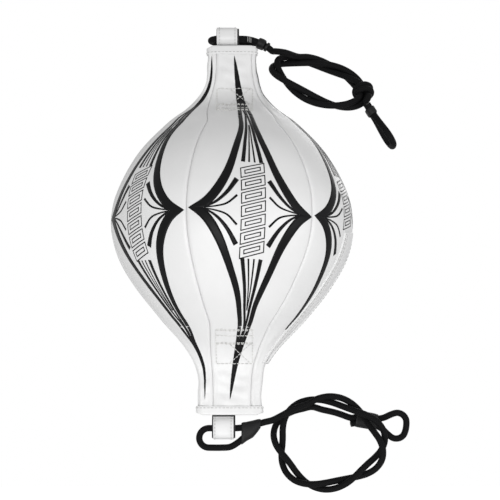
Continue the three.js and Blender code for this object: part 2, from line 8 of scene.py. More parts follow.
import bpy
import numpy as np
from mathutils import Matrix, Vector


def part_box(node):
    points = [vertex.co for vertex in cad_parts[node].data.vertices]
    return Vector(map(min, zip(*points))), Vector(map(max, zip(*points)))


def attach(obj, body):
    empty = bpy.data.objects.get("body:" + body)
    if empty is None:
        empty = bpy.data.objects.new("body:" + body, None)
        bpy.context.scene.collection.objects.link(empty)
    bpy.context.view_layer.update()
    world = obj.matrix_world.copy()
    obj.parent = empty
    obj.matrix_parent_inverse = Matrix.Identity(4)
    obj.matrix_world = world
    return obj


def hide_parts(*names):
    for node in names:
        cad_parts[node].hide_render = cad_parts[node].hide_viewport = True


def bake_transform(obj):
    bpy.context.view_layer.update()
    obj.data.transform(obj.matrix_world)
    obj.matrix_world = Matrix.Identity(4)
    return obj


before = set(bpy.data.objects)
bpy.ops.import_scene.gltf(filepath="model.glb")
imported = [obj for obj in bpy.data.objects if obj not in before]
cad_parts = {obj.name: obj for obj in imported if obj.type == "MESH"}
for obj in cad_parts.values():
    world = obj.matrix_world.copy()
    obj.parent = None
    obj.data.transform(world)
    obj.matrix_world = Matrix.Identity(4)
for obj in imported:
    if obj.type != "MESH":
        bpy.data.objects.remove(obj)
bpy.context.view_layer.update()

MM = 0.001
lining_low, lining_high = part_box("lining")
MIDDLE = np.array((lining_low + lining_high) / 2)

# ---- Driving dimensions ----
NECK_END = 164.9
BINDING_END = 166.5
LEATHER = 1.5
GORES = 6
FRONT_GORE_TURN = 10 / 360
STRAP_WIDTH = 20.5
STRAP_MIDDLE = {1: -4, -1: -7}
CORD = 2.9
HALF_WIDTH = [
    (-166, 28.8), (-152, 27.6), (-125, 30), (-107, 40.5), (-80, 65), (-53, 86.4), (-26, 102),
    (0, 107.6), (28, 104), (64, 85.5), (91, 62), (109, 39.6), (127, 25.7), (152, 21.6), (166, 22.3),
]
HALF_DEPTH = [
    (-166, 5.4), (-140, 5.6), (-122, 8), (-107, 19), (-80, 58), (-53, 84), (-26, 101.5),
    (0, 107.6), (28, 103.5), (64, 82), (91, 50), (109, 19), (122, 8), (140, 5.6), (166, 5.4),
]


# ---- Numbers and curves ----
def smooth(x):
    t = np.clip(x, 0, 1)
    return t * t * (3 - 2 * t)


def mix(a, b, t):
    return a + (b - a) * t


def through(points, z):
    """A smooth curve through (height, value) points, at an array of heights."""
    heights = np.array([p[0] for p in points], float)
    values = np.array([p[1] for p in points], float)
    z = np.asarray(z, float)
    last = len(points) - 1
    i = np.clip(np.searchsorted(heights, z, side="right") - 1, 0, last - 1)
    before = np.maximum(np.arange(last + 1) - 1, 0)
    after = np.minimum(np.arange(last + 1) + 1, last)
    slopes = (values[after] - values[before]) / (heights[after] - heights[before])
    h = heights[i + 1] - heights[i]
    t = np.clip((z - heights[i]) / h, 0, 1)
    rise = (t**3 - 2 * t * t + t) * h * slopes[i] + (t**3 - t * t) * h * slopes[i + 1]
    return mix(values[i], values[i + 1], t * t * (3 - 2 * t)) + rise


def neckness(z):
    """0 on the ball, 1 on the flat necks."""
    return smooth((np.abs(z) - 85) / 45)


def middle_x(z):
    return -1.8 * smooth((-60 - z) / 80)


def unit(v):
    return v / np.linalg.norm(v, axis=-1, keepdims=True)


def lengths_along(points):
    """The length from the first point to each point of a path."""
    return np.concatenate([[0], np.cumsum(np.linalg.norm(np.diff(points, axis=0), axis=1))])


def left_normals(line):
    """Unit normals on the left of a flat line."""
    direction = unit(np.gradient(line, axis=0))
    return np.column_stack([-direction[:, 1], direction[:, 0]])


# ---- The bag's skin ----
TURN_STEPS = 360
TABLE_HEIGHTS = np.arange(-168, 169, 1.0)


def section(z):
    """The outline at one height, in equal steps for a unit width and depth, and its length."""
    angle = np.linspace(0, 2 * math.pi, 4 * TURN_STEPS + 1)
    power = mix(1, 0.55, neckness(z))
    s, c = np.sin(angle), np.cos(angle)
    x = np.sign(s) * np.abs(s) ** power
    y = -np.sign(c) * np.abs(c) ** power
    along = lengths_along(np.column_stack([x * through(HALF_WIDTH, z), y * through(HALF_DEPTH, z)]))
    wanted = np.linspace(0, along[-1], TURN_STEPS + 1)
    return np.interp(wanted, along, x), np.interp(wanted, along, y), along[-1]


sections = [section(z) for z in TABLE_HEIGHTS]
UNIT_X = np.array([s[0] for s in sections])
UNIT_Y = np.array([s[1] for s in sections])
AROUND = np.array([s[2] for s in sections])


def around(z):
    """The length of the outline at a height."""
    return np.interp(z, TABLE_HEIGHTS, AROUND)


def plain_point(turn, z):
    """A point on the smooth body. turn is the share of the way round, from the front to the right."""
    turn, z = np.broadcast_arrays(np.asarray(turn, float), np.asarray(z, float))
    row = np.clip(z - TABLE_HEIGHTS[0], 0, len(TABLE_HEIGHTS) - 1.001)
    column = (turn - np.floor(turn)) * TURN_STEPS
    i, j = row.astype(int), np.minimum(column.astype(int), TURN_STEPS - 1)
    a, b = row - i, column - j

    def read(table):
        low = mix(table[i, j], table[i, j + 1], b)
        return mix(low, mix(table[i + 1, j], table[i + 1, j + 1], b), a)

    x = read(UNIT_X) * through(HALF_WIDTH, z) + middle_x(z)
    return np.stack([x, read(UNIT_Y) * through(HALF_DEPTH, z), z], axis=-1)


def seam_turn(k, z):
    """Where seam k lies at height z, in turns. The front and rear gores take most of a neck's width."""
    even = FRONT_GORE_TURN + (k - 0.5) / GORES
    front = np.where(np.asarray(z) > 0, 0.33, 0.276)
    side = (1 - 2 * front) / 4
    steps = [0, front, front + side, front + 2 * side, 2 * front + 2 * side, 2 * front + 3 * side]
    neck = 0.018 - front / 2 + steps[k % GORES] + k // GORES
    return mix(even, neck, neckness(z))


def gore_middle(k, z):
    return (seam_turn(k, z) + seam_turn(k + 1, z)) / 2


SEAM_DIP = 0.8
SEAM_REACH = 0.9
PUFF = 0.35
WELT = {"rise": 0.45, "from_seam": 2.4, "reach": 1.3}
SHOULDER_FOLDS = {"depth": 0.3, "height": 104, "reach": 17}
NECK_DENTS = {"height": 142, "reach": 20}


def near_height(z, place):
    """1 at a height on both necks, fading over its reach."""
    return np.exp(-(((np.abs(z) - place["height"]) / place["reach"]) ** 2))


def relief(turn, z):
    """How far the leather stands off the smooth body: seams dip and gores swell between them."""
    turn, z = np.broadcast_arrays(np.asarray(turn, float), np.asarray(z, float))
    size = around(z)
    nearest = np.full(turn.shape, 1e9)
    for k in range(GORES):
        away = turn - seam_turn(k, z)
        away = np.abs(away - np.round(away)) * size
        nearest = np.minimum(nearest, away)
    ball = 1 - neckness(z)
    swell = PUFF * ball * smooth(nearest / 40)
    dip = SEAM_DIP * mix(0.75, 1, ball) * np.exp(-((nearest / SEAM_REACH) ** 2))
    angle = turn * 2 * math.pi
    folds = np.sin(13 * angle + 0.05 * z) + 0.5 * np.sin(19 * angle - 0.07 * z + 1.3)
    folds = SHOULDER_FOLDS["depth"] * near_height(z, SHOULDER_FOLDS) * folds * smooth(nearest / 8)
    dents = np.sin(7 * angle + 0.03 * z + 0.6) * 0.5 + np.sin(3 * angle - 0.21 * z) * 0.5
    dents = dents + 0.42 * np.sin(0.6 * z + 2 * np.sin(2 * angle)) * smooth(nearest / 9)
    drift = 0.3 * np.sin(5 * angle + 0.045 * z) * np.sin(0.06 * z + 2 * angle)
    welt = WELT["rise"] * neckness(z) * np.exp(-(((nearest - WELT["from_seam"]) / WELT["reach"]) ** 2))
    return swell - dip + welt + folds + near_height(z, NECK_DENTS) * dents + drift * ball


def skin(turn, z, lift=0.0):
    """A point on the leather, or lifted off it."""
    turn, z = np.broadcast_arrays(np.asarray(turn, float), np.asarray(z, float))
    step_turn, step_z = 0.002, 0.6
    inside = np.clip(z, -NECK_END - 1 + step_z, NECK_END + 1 - step_z)
    across = plain_point(turn + step_turn, z) - plain_point(turn - step_turn, z)
    up = plain_point(turn, inside + step_z) - plain_point(turn, inside - step_z)
    outward = unit(np.cross(across, up))
    return plain_point(turn, z) + outward * (relief(turn, z) + lift)[..., None]


# ---- Meshes ----
def put(points):
    """Millimetres in the bag's frame to metres in the row's frame."""
    return np.asarray(points, float) * MM + MIDDLE


class Pile:
    """Vertices and faces of one piece, gathered from many closed parts."""

    def __init__(self):
        self.points = []
        self.faces = []
        self.along = []
        self.count = 0

    def add(self, points, faces, along=None):
        """Add one closed part, facing outwards. along holds each point's run and round on a cord."""
        points = np.asarray(points, float).reshape(-1, 3)
        faces = [tuple(int(v) for v in f) for f in faces]
        volume = 0.0
        for f in faces:
            for i in range(1, len(f) - 1):
                volume += np.dot(points[f[0]], np.cross(points[f[i]], points[f[i + 1]]))
        if volume < 0:
            faces = [f[::-1] for f in faces]
        self.faces += [tuple(v + self.count for v in f) for f in faces]
        self.points.append(points)
        given = np.zeros((len(points), 2)) if along is None else np.asarray(along, float).reshape(-1, 2)
        self.along.append(given)
        self.count += len(points)

    def make(self, name, materials, body=None, replaces=()):
        """The gathered parts as one visible piece that rides on a body."""
        mesh = bpy.data.meshes.new(name)
        mesh.from_pydata(put(np.concatenate(self.points)).tolist(), [], self.faces)
        for look in materials:
            mesh.materials.append(look)
        mesh.polygons.foreach_set("use_smooth", [True] * len(self.faces))
        along = np.concatenate(self.along)
        layer = mesh.attributes.new("run", "FLOAT_VECTOR", "POINT")
        layer.data.foreach_set("vector", np.column_stack([along, np.zeros(len(along))]).ravel())
        mesh.update()
        piece = bpy.data.objects.new(name, mesh)
        bpy.context.scene.collection.objects.link(piece)
        if body:
            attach(piece, body)
        if replaces:
            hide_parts(*replaces)
        return piece


def loft_faces(rings, sides, looped=False):
    """Faces through equal rings of points, with flat ends unless the loft closes on itself."""
    faces = []
    for i in range(rings if looped else rings - 1):
        n = (i + 1) % rings
        for j in range(sides):
            k = (j + 1) % sides
            faces.append((i * sides + j, i * sides + k, n * sides + k, n * sides + j))
    if not looped:
        far = (rings - 1) * sides
        faces.append(tuple(range(sides - 1, -1, -1)))
        faces.append(tuple(range(far, far + sides)))
    return faces


def sheet_solid(pile, outer, inner):
    """A thin closed sheet from two equal grids of points, shaped (rows, columns, 3)."""
    rows, columns = outer.shape[:2]
    count = rows * columns
    faces = []
    for i in range(rows - 1):
        for j in range(columns - 1):
            a, d = i * columns + j, (i + 1) * columns + j
            b, c = a + 1, d + 1
            faces += [(a, b, c, d), (count + d, count + c, count + b, count + a)]
    for i in range(rows - 1):
        for j in (0, columns - 1):
            a, d = i * columns + j, (i + 1) * columns + j
            side = (a, d, count + d, count + a)
            faces.append(side if j == 0 else side[::-1])
    for j in range(columns - 1):
        for i in (0, rows - 1):
            a, b = i * columns + j, i * columns + j + 1
            side = (b, a, count + a, count + b)
            faces.append(side if i == 0 else side[::-1])
    pile.add(np.concatenate([outer.reshape(-1, 3), inner.reshape(-1, 3)]), faces)


def frames_along(points, side):
    """Tangent, normal and binormal at each point of a path, carried along without twisting."""
    points = np.asarray(points, float)
    tangents = np.empty_like(points)
    tangents[1:-1] = points[2:] - points[:-2]
    tangents[0], tangents[-1] = points[1] - points[0], points[-1] - points[-2]
    tangents = unit(tangents)
    normals = np.empty_like(points)
    normal = np.asarray(side, float)
    for i, tangent in enumerate(tangents):
        normal = unit(normal - tangent * np.dot(normal, tangent))
        normals[i] = normal
    return tangents, normals, np.cross(tangents, normals)


DOME_ANGLES = (30, 55, 75)


def tube(pile, points, side, radius, sides=14, domed=(False, False)):
    """A round cord along points. radius may vary along it, and each end is flat or domed."""
    points = np.asarray(points, float)
    tangents, normals, binormals = frames_along(points, side)
    radius = np.broadcast_to(np.asarray(radius, float), (len(points),))
    angle = (np.arange(sides) + 0.5) / sides * 2 * math.pi
    run = lengths_along(points)
    centres, sizes = list(points), list(radius)
    frames, lengths = list(range(len(points))), list(run)
    for at_end in (0, 1):
        if not domed[at_end]:
            continue
        i = -1 if at_end else 0
        way = 1 if at_end else -1
        for degrees in DOME_ANGLES:
            a = math.radians(degrees)
            place = len(centres) if at_end else 0
            centres.insert(place, points[i] + tangents[i] * way * radius[i] * math.sin(a))
            sizes.insert(place, radius[i] * math.cos(a))
            frames.insert(place, len(points) - 1 if at_end else 0)
            lengths.insert(place, run[i] + way * radius[i] * a)
    frames = np.array(frames)
    rings = (
        np.array(centres)[:, None]
        + normals[frames][:, None] * (np.array(sizes)[:, None] * np.cos(angle))[..., None]
        + binormals[frames][:, None] * (np.array(sizes)[:, None] * np.sin(angle))[..., None]
    )
    along = np.stack(np.broadcast_arrays(np.array(lengths)[:, None], angle * CORD), axis=-1)
    pile.add(rings, loft_faces(len(rings), sides), along)


def curve_through(points, spacing=1.5):
    """A smooth centripetal path through points, resampled at an even spacing."""
    p = np.asarray(points, float)
    gaps = np.linalg.norm(np.diff(p, axis=0), axis=1) ** 0.5
    p = np.vstack([2 * p[0] - p[1], p, 2 * p[-1] - p[-2]])
    gaps = np.concatenate([[gaps[0]], gaps, [gaps[-1]]])
    fine = []
    for i in range(1, len(p) - 2):
        before, here, after = gaps[i - 1], gaps[i], gaps[i + 1]
        middle = (p[i + 1] - p[i]) / here
        start = (p[i] - p[i - 1]) / before - (p[i + 1] - p[i - 1]) / (before + here) + middle
        end = middle - (p[i + 2] - p[i]) / (here + after) + (p[i + 2] - p[i + 1]) / after
        start, end = start * here, end * here
        t = np.linspace(0, 1, 24, endpoint=False)[:, None]
        fine.append(
            (2 * t**3 - 3 * t**2 + 1) * p[i] + (t**3 - 2 * t**2 + t) * start
            + (-2 * t**3 + 3 * t**2) * p[i + 1] + (t**3 - t**2) * end
        )
    fine.append(p[-2][None])
    return resample(np.vstack(fine), spacing)


def resample(points, spacing):
    points = np.asarray(points, float)
    run = lengths_along(points)
    wanted = np.linspace(0, run[-1], max(2, int(round(run[-1] / spacing)) + 1))
    return np.column_stack([np.interp(wanted, run, points[:, k]) for k in range(points.shape[1])])


# ---- Materials ----
def feed(tree, socket, value):
    """Give an input a value, or another node's output."""
    if isinstance(value, bpy.types.NodeSocket):
        tree.links.new(value, socket)
    else:
        socket.default_value = value


def node(tree, kind, inputs=None, **settings):
    made = tree.nodes.new(kind)
    for key, value in settings.items():
        setattr(made, key, value)
    for key, value in (inputs or {}).items():
        feed(tree, made.inputs[key], value)
    return made


def math_of(tree, operation, *values):
    made = node(tree, "ShaderNodeMath", operation=operation)
    for socket, value in zip(made.inputs, values):
        feed(tree, socket, value)
    return made.outputs[0]


def position(tree):
    return node(tree, "ShaderNodeTexCoord").outputs["Object"]


def noise(tree, where, scale, detail=3.0, roughness=0.5):
    inputs = {"Scale": scale, "Detail": detail, "Roughness": roughness, "Vector": where}
    return node(tree, "ShaderNodeTexNoise", inputs).outputs["Fac"]


def ramp(tree, value, stops):
    made = node(tree, "ShaderNodeValToRGB", {"Fac": value})
    for element, (place, colour) in zip(made.color_ramp.elements, stops):
        element.position, element.color = place, (*colour, 1)
    return made.outputs["Color"]


def spread(tree, value, low, high, lowest=0):
    """A value that runs from lowest to 1, spread from low to high."""
    inputs = {"From Min": lowest, "To Min": low, "To Max": high, "Value": value}
    return node(tree, "ShaderNodeMapRange", inputs).outputs["Result"]


def bumps(tree, layers):
    """The normal under bump layers, each a (height, strength, distance in metres)."""
    made = None
    for height, strength, distance in layers:
        inputs = {"Strength": strength, "Distance": distance, "Height": height}
        if made:
            inputs["Normal"] = made.outputs["Normal"]
        made = node(tree, "ShaderNodeBump", inputs)
    return made.outputs["Normal"]


def look_of(name, tint):
    """A material whose Principled inputs tint(tree) gives."""
    look = bpy.data.materials.new(name)
    look.use_nodes = True
    tree = look.node_tree
    for key, value in tint(tree).items():
        feed(tree, tree.nodes["Principled BSDF"].inputs[key], value)
    return look


def leather_look(name, dark, light, roughness, specular=0.45, coat=0.06):
    """Coated synthetic leather: fine pebbled grain, cloudy tone and a satin coat."""
    def tint(tree):
        where = position(tree)
        cloud = noise(tree, where, 14, 4)
        colour = ramp(tree, cloud, [(0.3, dark), (0.7, light)])
        grain = node(tree, "ShaderNodeTexVoronoi", {"Scale": 900.0, "Vector": where})
        fine = noise(tree, where, 420, 5, 0.6)
        dapple = noise(tree, where, 60, 3)
        pebbles = grain.outputs["Distance"]
        layers = [(dapple, 0.12, 0.0006), (fine, 0.22, 0.00022), (pebbles, 0.2, 0.00016)]
        return {
            "Base Color": colour,
            "Roughness": spread(tree, dapple, roughness - 0.05, roughness + 0.07),
            "Normal": bumps(tree, layers),
            "Specular IOR Level": specular,
            "Coat Weight": coat,
            "Coat Roughness": 0.38,
        }

    return look_of(name, tint)


def run_waves(tree, across_scale, along_scale):
    """Two waves along the lines run + round and run - round of a cord, for a plait."""
    run = node(tree, "ShaderNodeAttribute", attribute_name="run")
    split = node(tree, "ShaderNodeSeparateXYZ", {"Vector": run.outputs["Vector"]})
    waves = []
    for way in (1, -1):
        along = math_of(tree, "MULTIPLY", split.outputs["X"], along_scale)
        across = math_of(tree, "MULTIPLY", split.outputs["Y"], way * across_scale)
        waves.append(math_of(tree, "SINE", math_of(tree, "ADD", along, across)))
    return waves


def plaited_tint(tree):
    """Elastic cord in a tight black plaited cover, its colour darker in the plait's grooves as painted
    shade.
    """
    plait = math_of(tree, "MAXIMUM", *run_waves(tree, 8 / CORD, 2.6))
    height = spread(tree, plait, 0, 1, -1)
    fuzz = noise(tree, position(tree), 900, 4, 0.7)
    return {
        # painted shade: the colour follows the plait's height, darker in the grooves between strands
        "Base Color": ramp(tree, height, [(0, (0.0008, 0.0008, 0.001)), (1, (0.0055, 0.0055, 0.006))]),
        "Roughness": spread(tree, fuzz, 0.55, 0.8),
        "Specular IOR Level": 0.1,
        "Normal": bumps(tree, [(height, 0.55, 0.0004), (fuzz, 0.25, 0.0002)]),
    }


def weave_look(name, dark, light, pitch, roughness=0.8):
    """Woven webbing or cloth: ribs both ways in the row frame, with frayed variation, and painted shade that
    darkens the colour in the hollows between ribs.
    """
    def tint(tree):
        where = position(tree)
        inputs = {"Scale": pitch, "Distortion": 0.6, "Detail": 1.0, "Vector": where}
        waves = [
            node(tree, "ShaderNodeTexWave", inputs, wave_type="BANDS", bands_direction=axis).outputs["Fac"]
            for axis in ("X", "Z")
        ]
        both = math_of(tree, "MULTIPLY", *waves)
        fuzz = noise(tree, where, 700, 4, 0.7)
        return {
            # painted shade: the colour follows the ribs' height, darker in the hollows of the weave
            "Base Color": ramp(tree, both, [(0.0, dark), (1.0, light)]),
            "Roughness": spread(tree, fuzz, roughness - 0.08, roughness + 0.1),
            "Sheen Weight": 0.15,
            "Normal": bumps(tree, [(both, 0.6, 0.0004), (fuzz, 0.25, 0.00015)]),
        }

    return look_of(name, tint)


def plain_look(name, dark, light, roughness, grain, depth, specular=0.4):
    """Moulded rubber, plastic or thread with a faint mottle and grain."""
    def tint(tree):
        where = position(tree)
        cloud = noise(tree, where, 90, 3)
        fine = noise(tree, where, grain, 4, 0.6)
        return {
            "Base Color": ramp(tree, cloud, [(0.3, dark), (0.7, light)]),
            "Roughness": spread(tree, cloud, roughness - 0.06, roughness + 0.08),
            "Specular IOR Level": specular,
            "Normal": bumps(tree, [(fine, 0.3, depth)]),
        }

    return look_of(name, tint)


white_leather = leather_look("white_coated_leather", (0.70, 0.70, 0.70), (0.76, 0.76, 0.76), 0.42)
binding_leather = leather_look("binding_leather", (0.69, 0.69, 0.69), (0.75, 0.75, 0.75), 0.4)
black_print = leather_look("black_print", (0.003, 0.003, 0.0034), (0.006, 0.006, 0.0066), 0.38, 0.14, 0.0)
white_thread = plain_look("white_thread", (0.55, 0.55, 0.54), (0.74, 0.74, 0.72), 0.75, 2500, 0.0002)
grey_thread = plain_look("seam_thread", (0.36, 0.36, 0.355), (0.5, 0.5, 0.49), 0.75, 2500, 0.0002)
black_webbing = weave_look("black_webbing", (0.004, 0.004, 0.0045), (0.022, 0.022, 0.024), 130)
lining_cloth = weave_look("lining_cloth", (0.42, 0.42, 0.41), (0.6, 0.6, 0.58), 160, 0.85)
latex = plain_look("latex", (0.015, 0.015, 0.016), (0.026, 0.026, 0.027), 0.55, 1200, 0.0001)
plaited = look_of("plaited_elastic", plaited_tint)
shrink = plain_look("shrink_sleeve", (0.004, 0.004, 0.0044), (0.008, 0.008, 0.0084), 0.5, 1500, 0.0002, 0.25)
rubber_core = plain_look("cut_rubber", (0.02, 0.02, 0.02), (0.05, 0.05, 0.048), 0.7, 1500, 0.0002)

# ---- Gores ----
GORE_HALF_COLUMNS = 17
ROW_STEP = 2.0


def gore_columns():
    """Shares across a gore, closer together near the seams."""
    t = np.linspace(-1, 1, 2 * GORE_HALF_COLUMNS + 1)
    return (0.55 * t + 0.45 * np.sin(t * math.pi / 2) + 1) / 2


rows = np.linspace(-NECK_END, NECK_END, int(2 * NECK_END / ROW_STEP) + 1)
EDGE_GAP = 0.12
for k in range(GORES):
    z = rows[:, None]
    margin = EDGE_GAP / around(z)
    turns = mix(seam_turn(k, z) + margin, seam_turn(k + 1, z) - margin, gore_columns()[None, :])
    gore = Pile()
    sheet_solid(gore, skin(turns, z), skin(turns, z, -LEATHER))
    gore.make(f"gore_{k + 1}", [white_leather], "bag", [f"panel_{k + 1}"])

# ---- Print ----
PRINT_LIFT = 0.13
PRINT_DEPTH = 0.25
STAR_MIDDLE = 1.0  # height of the star's side tips
STAR_UPPER = [(0, 54.8), (10, 40.3), (31, 25.3), (56, 15.1), (77, 8.4), (92, 6.4)]
STAR_LOWER = [(0, 54.8), (9, 43.0), (26.5, 30.5), (50, 19.1), (73, 10.0), (92.5, 5.6)]
SPIKE_TOP, SPIKE_BOTTOM = 157, -153
PRINT_TILT = 0.05  # the print sits slightly askew, lower on the right
PRINT_LEAN = [  # height, and how far the print stands to the right of its gore's middle there
    (-153, -1.8), (-115, 2.9), (-90, 3.4), (-77, 2.3), (-60, 1.8), (-24, 0.3), (60, 1.3), (78, 2.5),
    (92, 3.0), (107, 4.2), (117, 4.1), (127, 3.6), (157, 0.2),
]


def on_gore(k, u, z, lift):
    """A point of the print: u millimetres to the right of the gore's middle, at height z on the gore."""
    u, z = np.asarray(u, float), np.asarray(z, float)
    level = 1 - neckness(z)
    facing = math.cos(2 * math.pi * (FRONT_GORE_TURN + k / GORES))
    sideways = math.sin(2 * math.pi * (FRONT_GORE_TURN + k / GORES))
    radius = around(z) / (2 * math.pi)
    askew = PRINT_TILT * level * (facing * u + sideways * radius * 0.5)
    z = z - askew
    wide = 1.0 if k % 3 == 0 else 0.25  # the front and rear gores stay wide on the necks
    u = u + wide * through(PRINT_LEAN, z)
    return skin(gore_middle(k, z) + u / around(z), z, lift)


def print_band(pile, k, left, right, across=4):
    """A printed band between two edge lines of (u, z) points."""
    t = np.linspace(0, 1, across + 1)[None, :, None]
    grid = mix(np.asarray(left, float)[:, None], np.asarray(right, float)[:, None], t)
    outer = on_gore(k, grid[..., 0], grid[..., 1], PRINT_LIFT)
    inner = on_gore(k, grid[..., 0], grid[..., 1], PRINT_LIFT - PRINT_DEPTH)
    sheet_solid(pile, outer, inner)


def stroke(pile, k, line, width_from, width_to):
    """A printed line along (u, z) points whose width changes evenly."""
    path = curve_through([(u, z, 0) for u, z in line], 1.6)[:, :2]
    offset = left_normals(path) * np.linspace(width_from, width_to, len(path))[:, None] / 2
    print_band(pile, k, path + offset, path - offset, 2)


STROKE_WIDTH, STROKE_SWELL, STROKE_TAPER = 5.2, 2.8, 1.7  # plain, added by a side tip, lost by a neck


def star_edge(profile, way):
    """The star's outline from a side tip to where the strokes meet, on its right side."""
    points = [(half, STAR_MIDDLE + way * rise, 0) for rise, half in profile]
    return curve_through(points, 1.8)[:, :2]


def star_outline(pile, k, side, way):
    """One of the four thick strokes round the star. They are thickest near the side tips."""
    outer = star_edge(STAR_UPPER if way > 0 else STAR_LOWER, way)
    inward = left_normals(outer) * way
    inward[inward[:, 0] > 0] *= -1
    rise = np.abs(outer[:, 1] - STAR_MIDDLE)
    swell = STROKE_SWELL * np.exp(-((rise - 12) / 30) ** 2)
    width = STROKE_WIDTH + swell - STROKE_TAPER * smooth((rise - 55) / 40)
    room = (rise + 0.05) / np.maximum(np.abs(inward[:, 1]), 1e-3)
    toward_middle = inward[:, 1] * way < 0
    width = np.where(toward_middle, np.minimum(width, room), width)
    inner = outer + inward * width[:, None]
    inner[:, 0] = np.maximum(inner[:, 0], 0)
    mirror = np.array([side, 1])
    print_band(pile, k, outer * mirror, inner * mirror, 4)


# The spike's three strands, as shares of its half width: left edge parted and joined, then right edge
SPLIT = 9.0
SPIKE_STRANDS = ((-1, -1, -0.46, -0.3), (-0.13, -0.3, 0.31, 0.38), (0.47, 0.38, 1, 1))


def spike(pile, k, from_rise, half, tip, way):
    """The solid taper that runs from the star onto a neck."""
    start = STAR_MIDDLE + way * from_rise
    z = np.linspace(start, tip, 40)
    t = np.linspace(0, 1, 40)
    on_neck = 1.0 if k % 3 == 0 else 0.55
    taper = (1 - t) ** 0.8 * mix(1, 0.75, np.sin(t * math.pi))
    width = half * mix(1, on_neck, smooth(4 * t)) * taper + 0.05
    for left_from, left_to, right_from, right_to in SPIKE_STRANDS:
        closed = np.minimum(1, np.abs(z - start) / SPLIT)
        left = width * mix(left_from, left_to, closed)
        right = width * mix(right_from, right_to, closed)
        print_band(pile, k, np.column_stack([left, z]), np.column_stack([right, z]), 2)


# How far each line of a side tip's fan rises and falls, how early it bends, and its width at each end
FAN = (({1: 25.5, -1: 28.5}, 0.52, 1.4, 4.2), ({1: 11.5, -1: 13}, 0.36, 1.1, 1.9))


def side_stripes(pile, k, side, way):
    """Two lines that fan out of each side tip towards the middle, on one side of its level."""
    for reaches, bend, start_width, end_width in FAN:
        reach = reaches[way]
        line = [
            (side * 41, STAR_MIDDLE + way * 0.4),
            (side * 31, STAR_MIDDLE + way * reach * bend * 0.42),
            (side * 22, STAR_MIDDLE + way * reach * (bend + 0.02)),
            (side * 13.5, STAR_MIDDLE + way * reach),
        ]
        stroke(pile, k, line, start_width, end_width)


# Across at the outer end, across where they meet, width, and the share of the way that they run
STRIPES = ((-7.6, 0.0, 3.4, 1), (-2.5, 0.4, 1.5, 0.75), (2.3, 0.8, 1.5, 0.75), (7.9, 1.2, 3.4, 1))
STRIPE_BEGIN = {1: 41.5, -1: 39.0}
STRIPE_MEET = {1: 92.3, -1: 92.8}


def inner_stripes(pile, k, way):
    """Four lines inside the star's upper or lower point, that meet towards the neck."""
    begin, meet = STRIPE_BEGIN[way], STRIPE_MEET[way]
    for u, joined_u, width, run in STRIPES:
        meet_u = joined_u * (1.0 if way > 0 else 0.6)
        top = begin + (meet - begin) * run
        line = [
            (u, STAR_MIDDLE + way * begin),
            (mix(u, meet_u, 0.55), STAR_MIDDLE + way * mix(begin, top, 0.5)),
            (meet_u, STAR_MIDDLE + way * top),
        ]
        stroke(pile, k, line, width, width * 0.5)


TILE_HEIGHT = 9.4
TILE_PITCH = 11.0
TILES = 7
COVERED_BELOW = -6  # no tiles below this height where the cover lies
TILE_HALF_WIDTH = 10.4
TILE_SLANT = 6.4
TILE_INSET = (3.4, 2.8)
LINE = 0.85


def outline_loop(pile, k, half_width, half_height, height, slant, width):
    """A printed outline round a four-sided tile whose top and bottom slant up to the right."""
    def corner(inset, x, y):
        across = x * (half_width - inset)
        return across, height + y * (half_height - inset) + slant * across / TILE_HALF_WIDTH

    signs = [(-1, -1), (1, -1), (1, 1), (-1, 1)]
    outer = np.array([corner(0, *s) for s in signs])
    inner = np.array([corner(width, *s) for s in signs])
    t = np.linspace(0, 1, 7)[:, None]
    for i in range(4):
        n = (i + 1) % 4
        print_band(pile, k, mix(outer[i], outer[n], t), mix(inner[i], inner[n], t), 1)


def ornament(pile, k, covered):
    """A column of slanted outlined tiles up the star's middle, each with a smaller one inside it."""
    for i in range(TILES):
        height = STAR_MIDDLE + 1.0 + (i - (TILES - 1) / 2) * TILE_PITCH
        if covered and height < COVERED_BELOW:
            continue
        for inset_x, inset_y in ((0, 0), TILE_INSET):
            half_width, half_height = TILE_HALF_WIDTH - inset_x, TILE_HEIGHT / 2 - inset_y
            outline_loop(pile, k, half_width, half_height, height, TILE_SLANT / 2, LINE)


for k in range(GORES):
    star = Pile()
    covered = k in (1, 2)  # the cover over the closing seam hides one lower quarter of these stars
    for side in (-1, 1):
        for way in (1, -1):
            if covered and way < 0 and side == (1 if k == 1 else -1):
                continue
            star_outline(star, k, side, way)
            side_stripes(star, k, side, way)
    for way, profile, tip in ((1, STAR_UPPER, SPIKE_TOP), (-1, STAR_LOWER, SPIKE_BOTTOM)):
        if not (covered and way < 0):
            inner_stripes(star, k, way)
            spike(star, k, profile[-1][0], profile[-1][1], tip, way)
    ornament(star, k, covered)
    star.make(f"print_{k + 1}", [black_print], "bag")


# ---- Stitches ----
# Thread radius, stitch length and gap of each kind of row
SEAM_ROW = (0.24, 2.6, 1.1)
BOX_ROW = (0.36, 2.4, 0.9)
BINDING_ROW = (0.24, 2.3, 1.0)
LOOP_ROW = (0.27, 2.0, 0.9)


def stitches(pile, path, row, outward, bow=0.5):
    """Separate stitches along a dense path. Each one rises out of the surface and dips back in."""
    radius, length, gap = row
    run = lengths_along(path)
    count = max(1, int(run[-1] / (length + gap)))
    pitch = run[-1] / count
    shape = np.array([-0.9, 0.35, 1.0, 0.35, -0.9]) * radius * 2 * bow
    for i in range(count):
        at = i * pitch + gap / 2 + np.linspace(0, pitch - gap, 5)
        points = np.column_stack([np.interp(at, run, path[:, c]) for c in range(3)])
        away = unit(np.column_stack([np.interp(at, run, outward[:, c]) for c in range(3)]))
        tube(pile, points + away * shape[:, None], away[0], radius, sides=6, domed=(True, True))


def skin_path(turns, heights, lift):
    """A dense path on the leather and its outward directions."""
    here = skin(turns, heights, lift)
    return here, unit(skin(turns, heights, lift + 1.0) - here)


# ---- Cover and closing flap over the seam behind the right ----
COVER_LOW, COVER_HIGH = -121, -9
COVER_SHARE = 0.45
COVER_THICKNESS = 0.9
COVER_CROWN = 4.0  # the middle of the cover's top edge stands this much higher than its corners


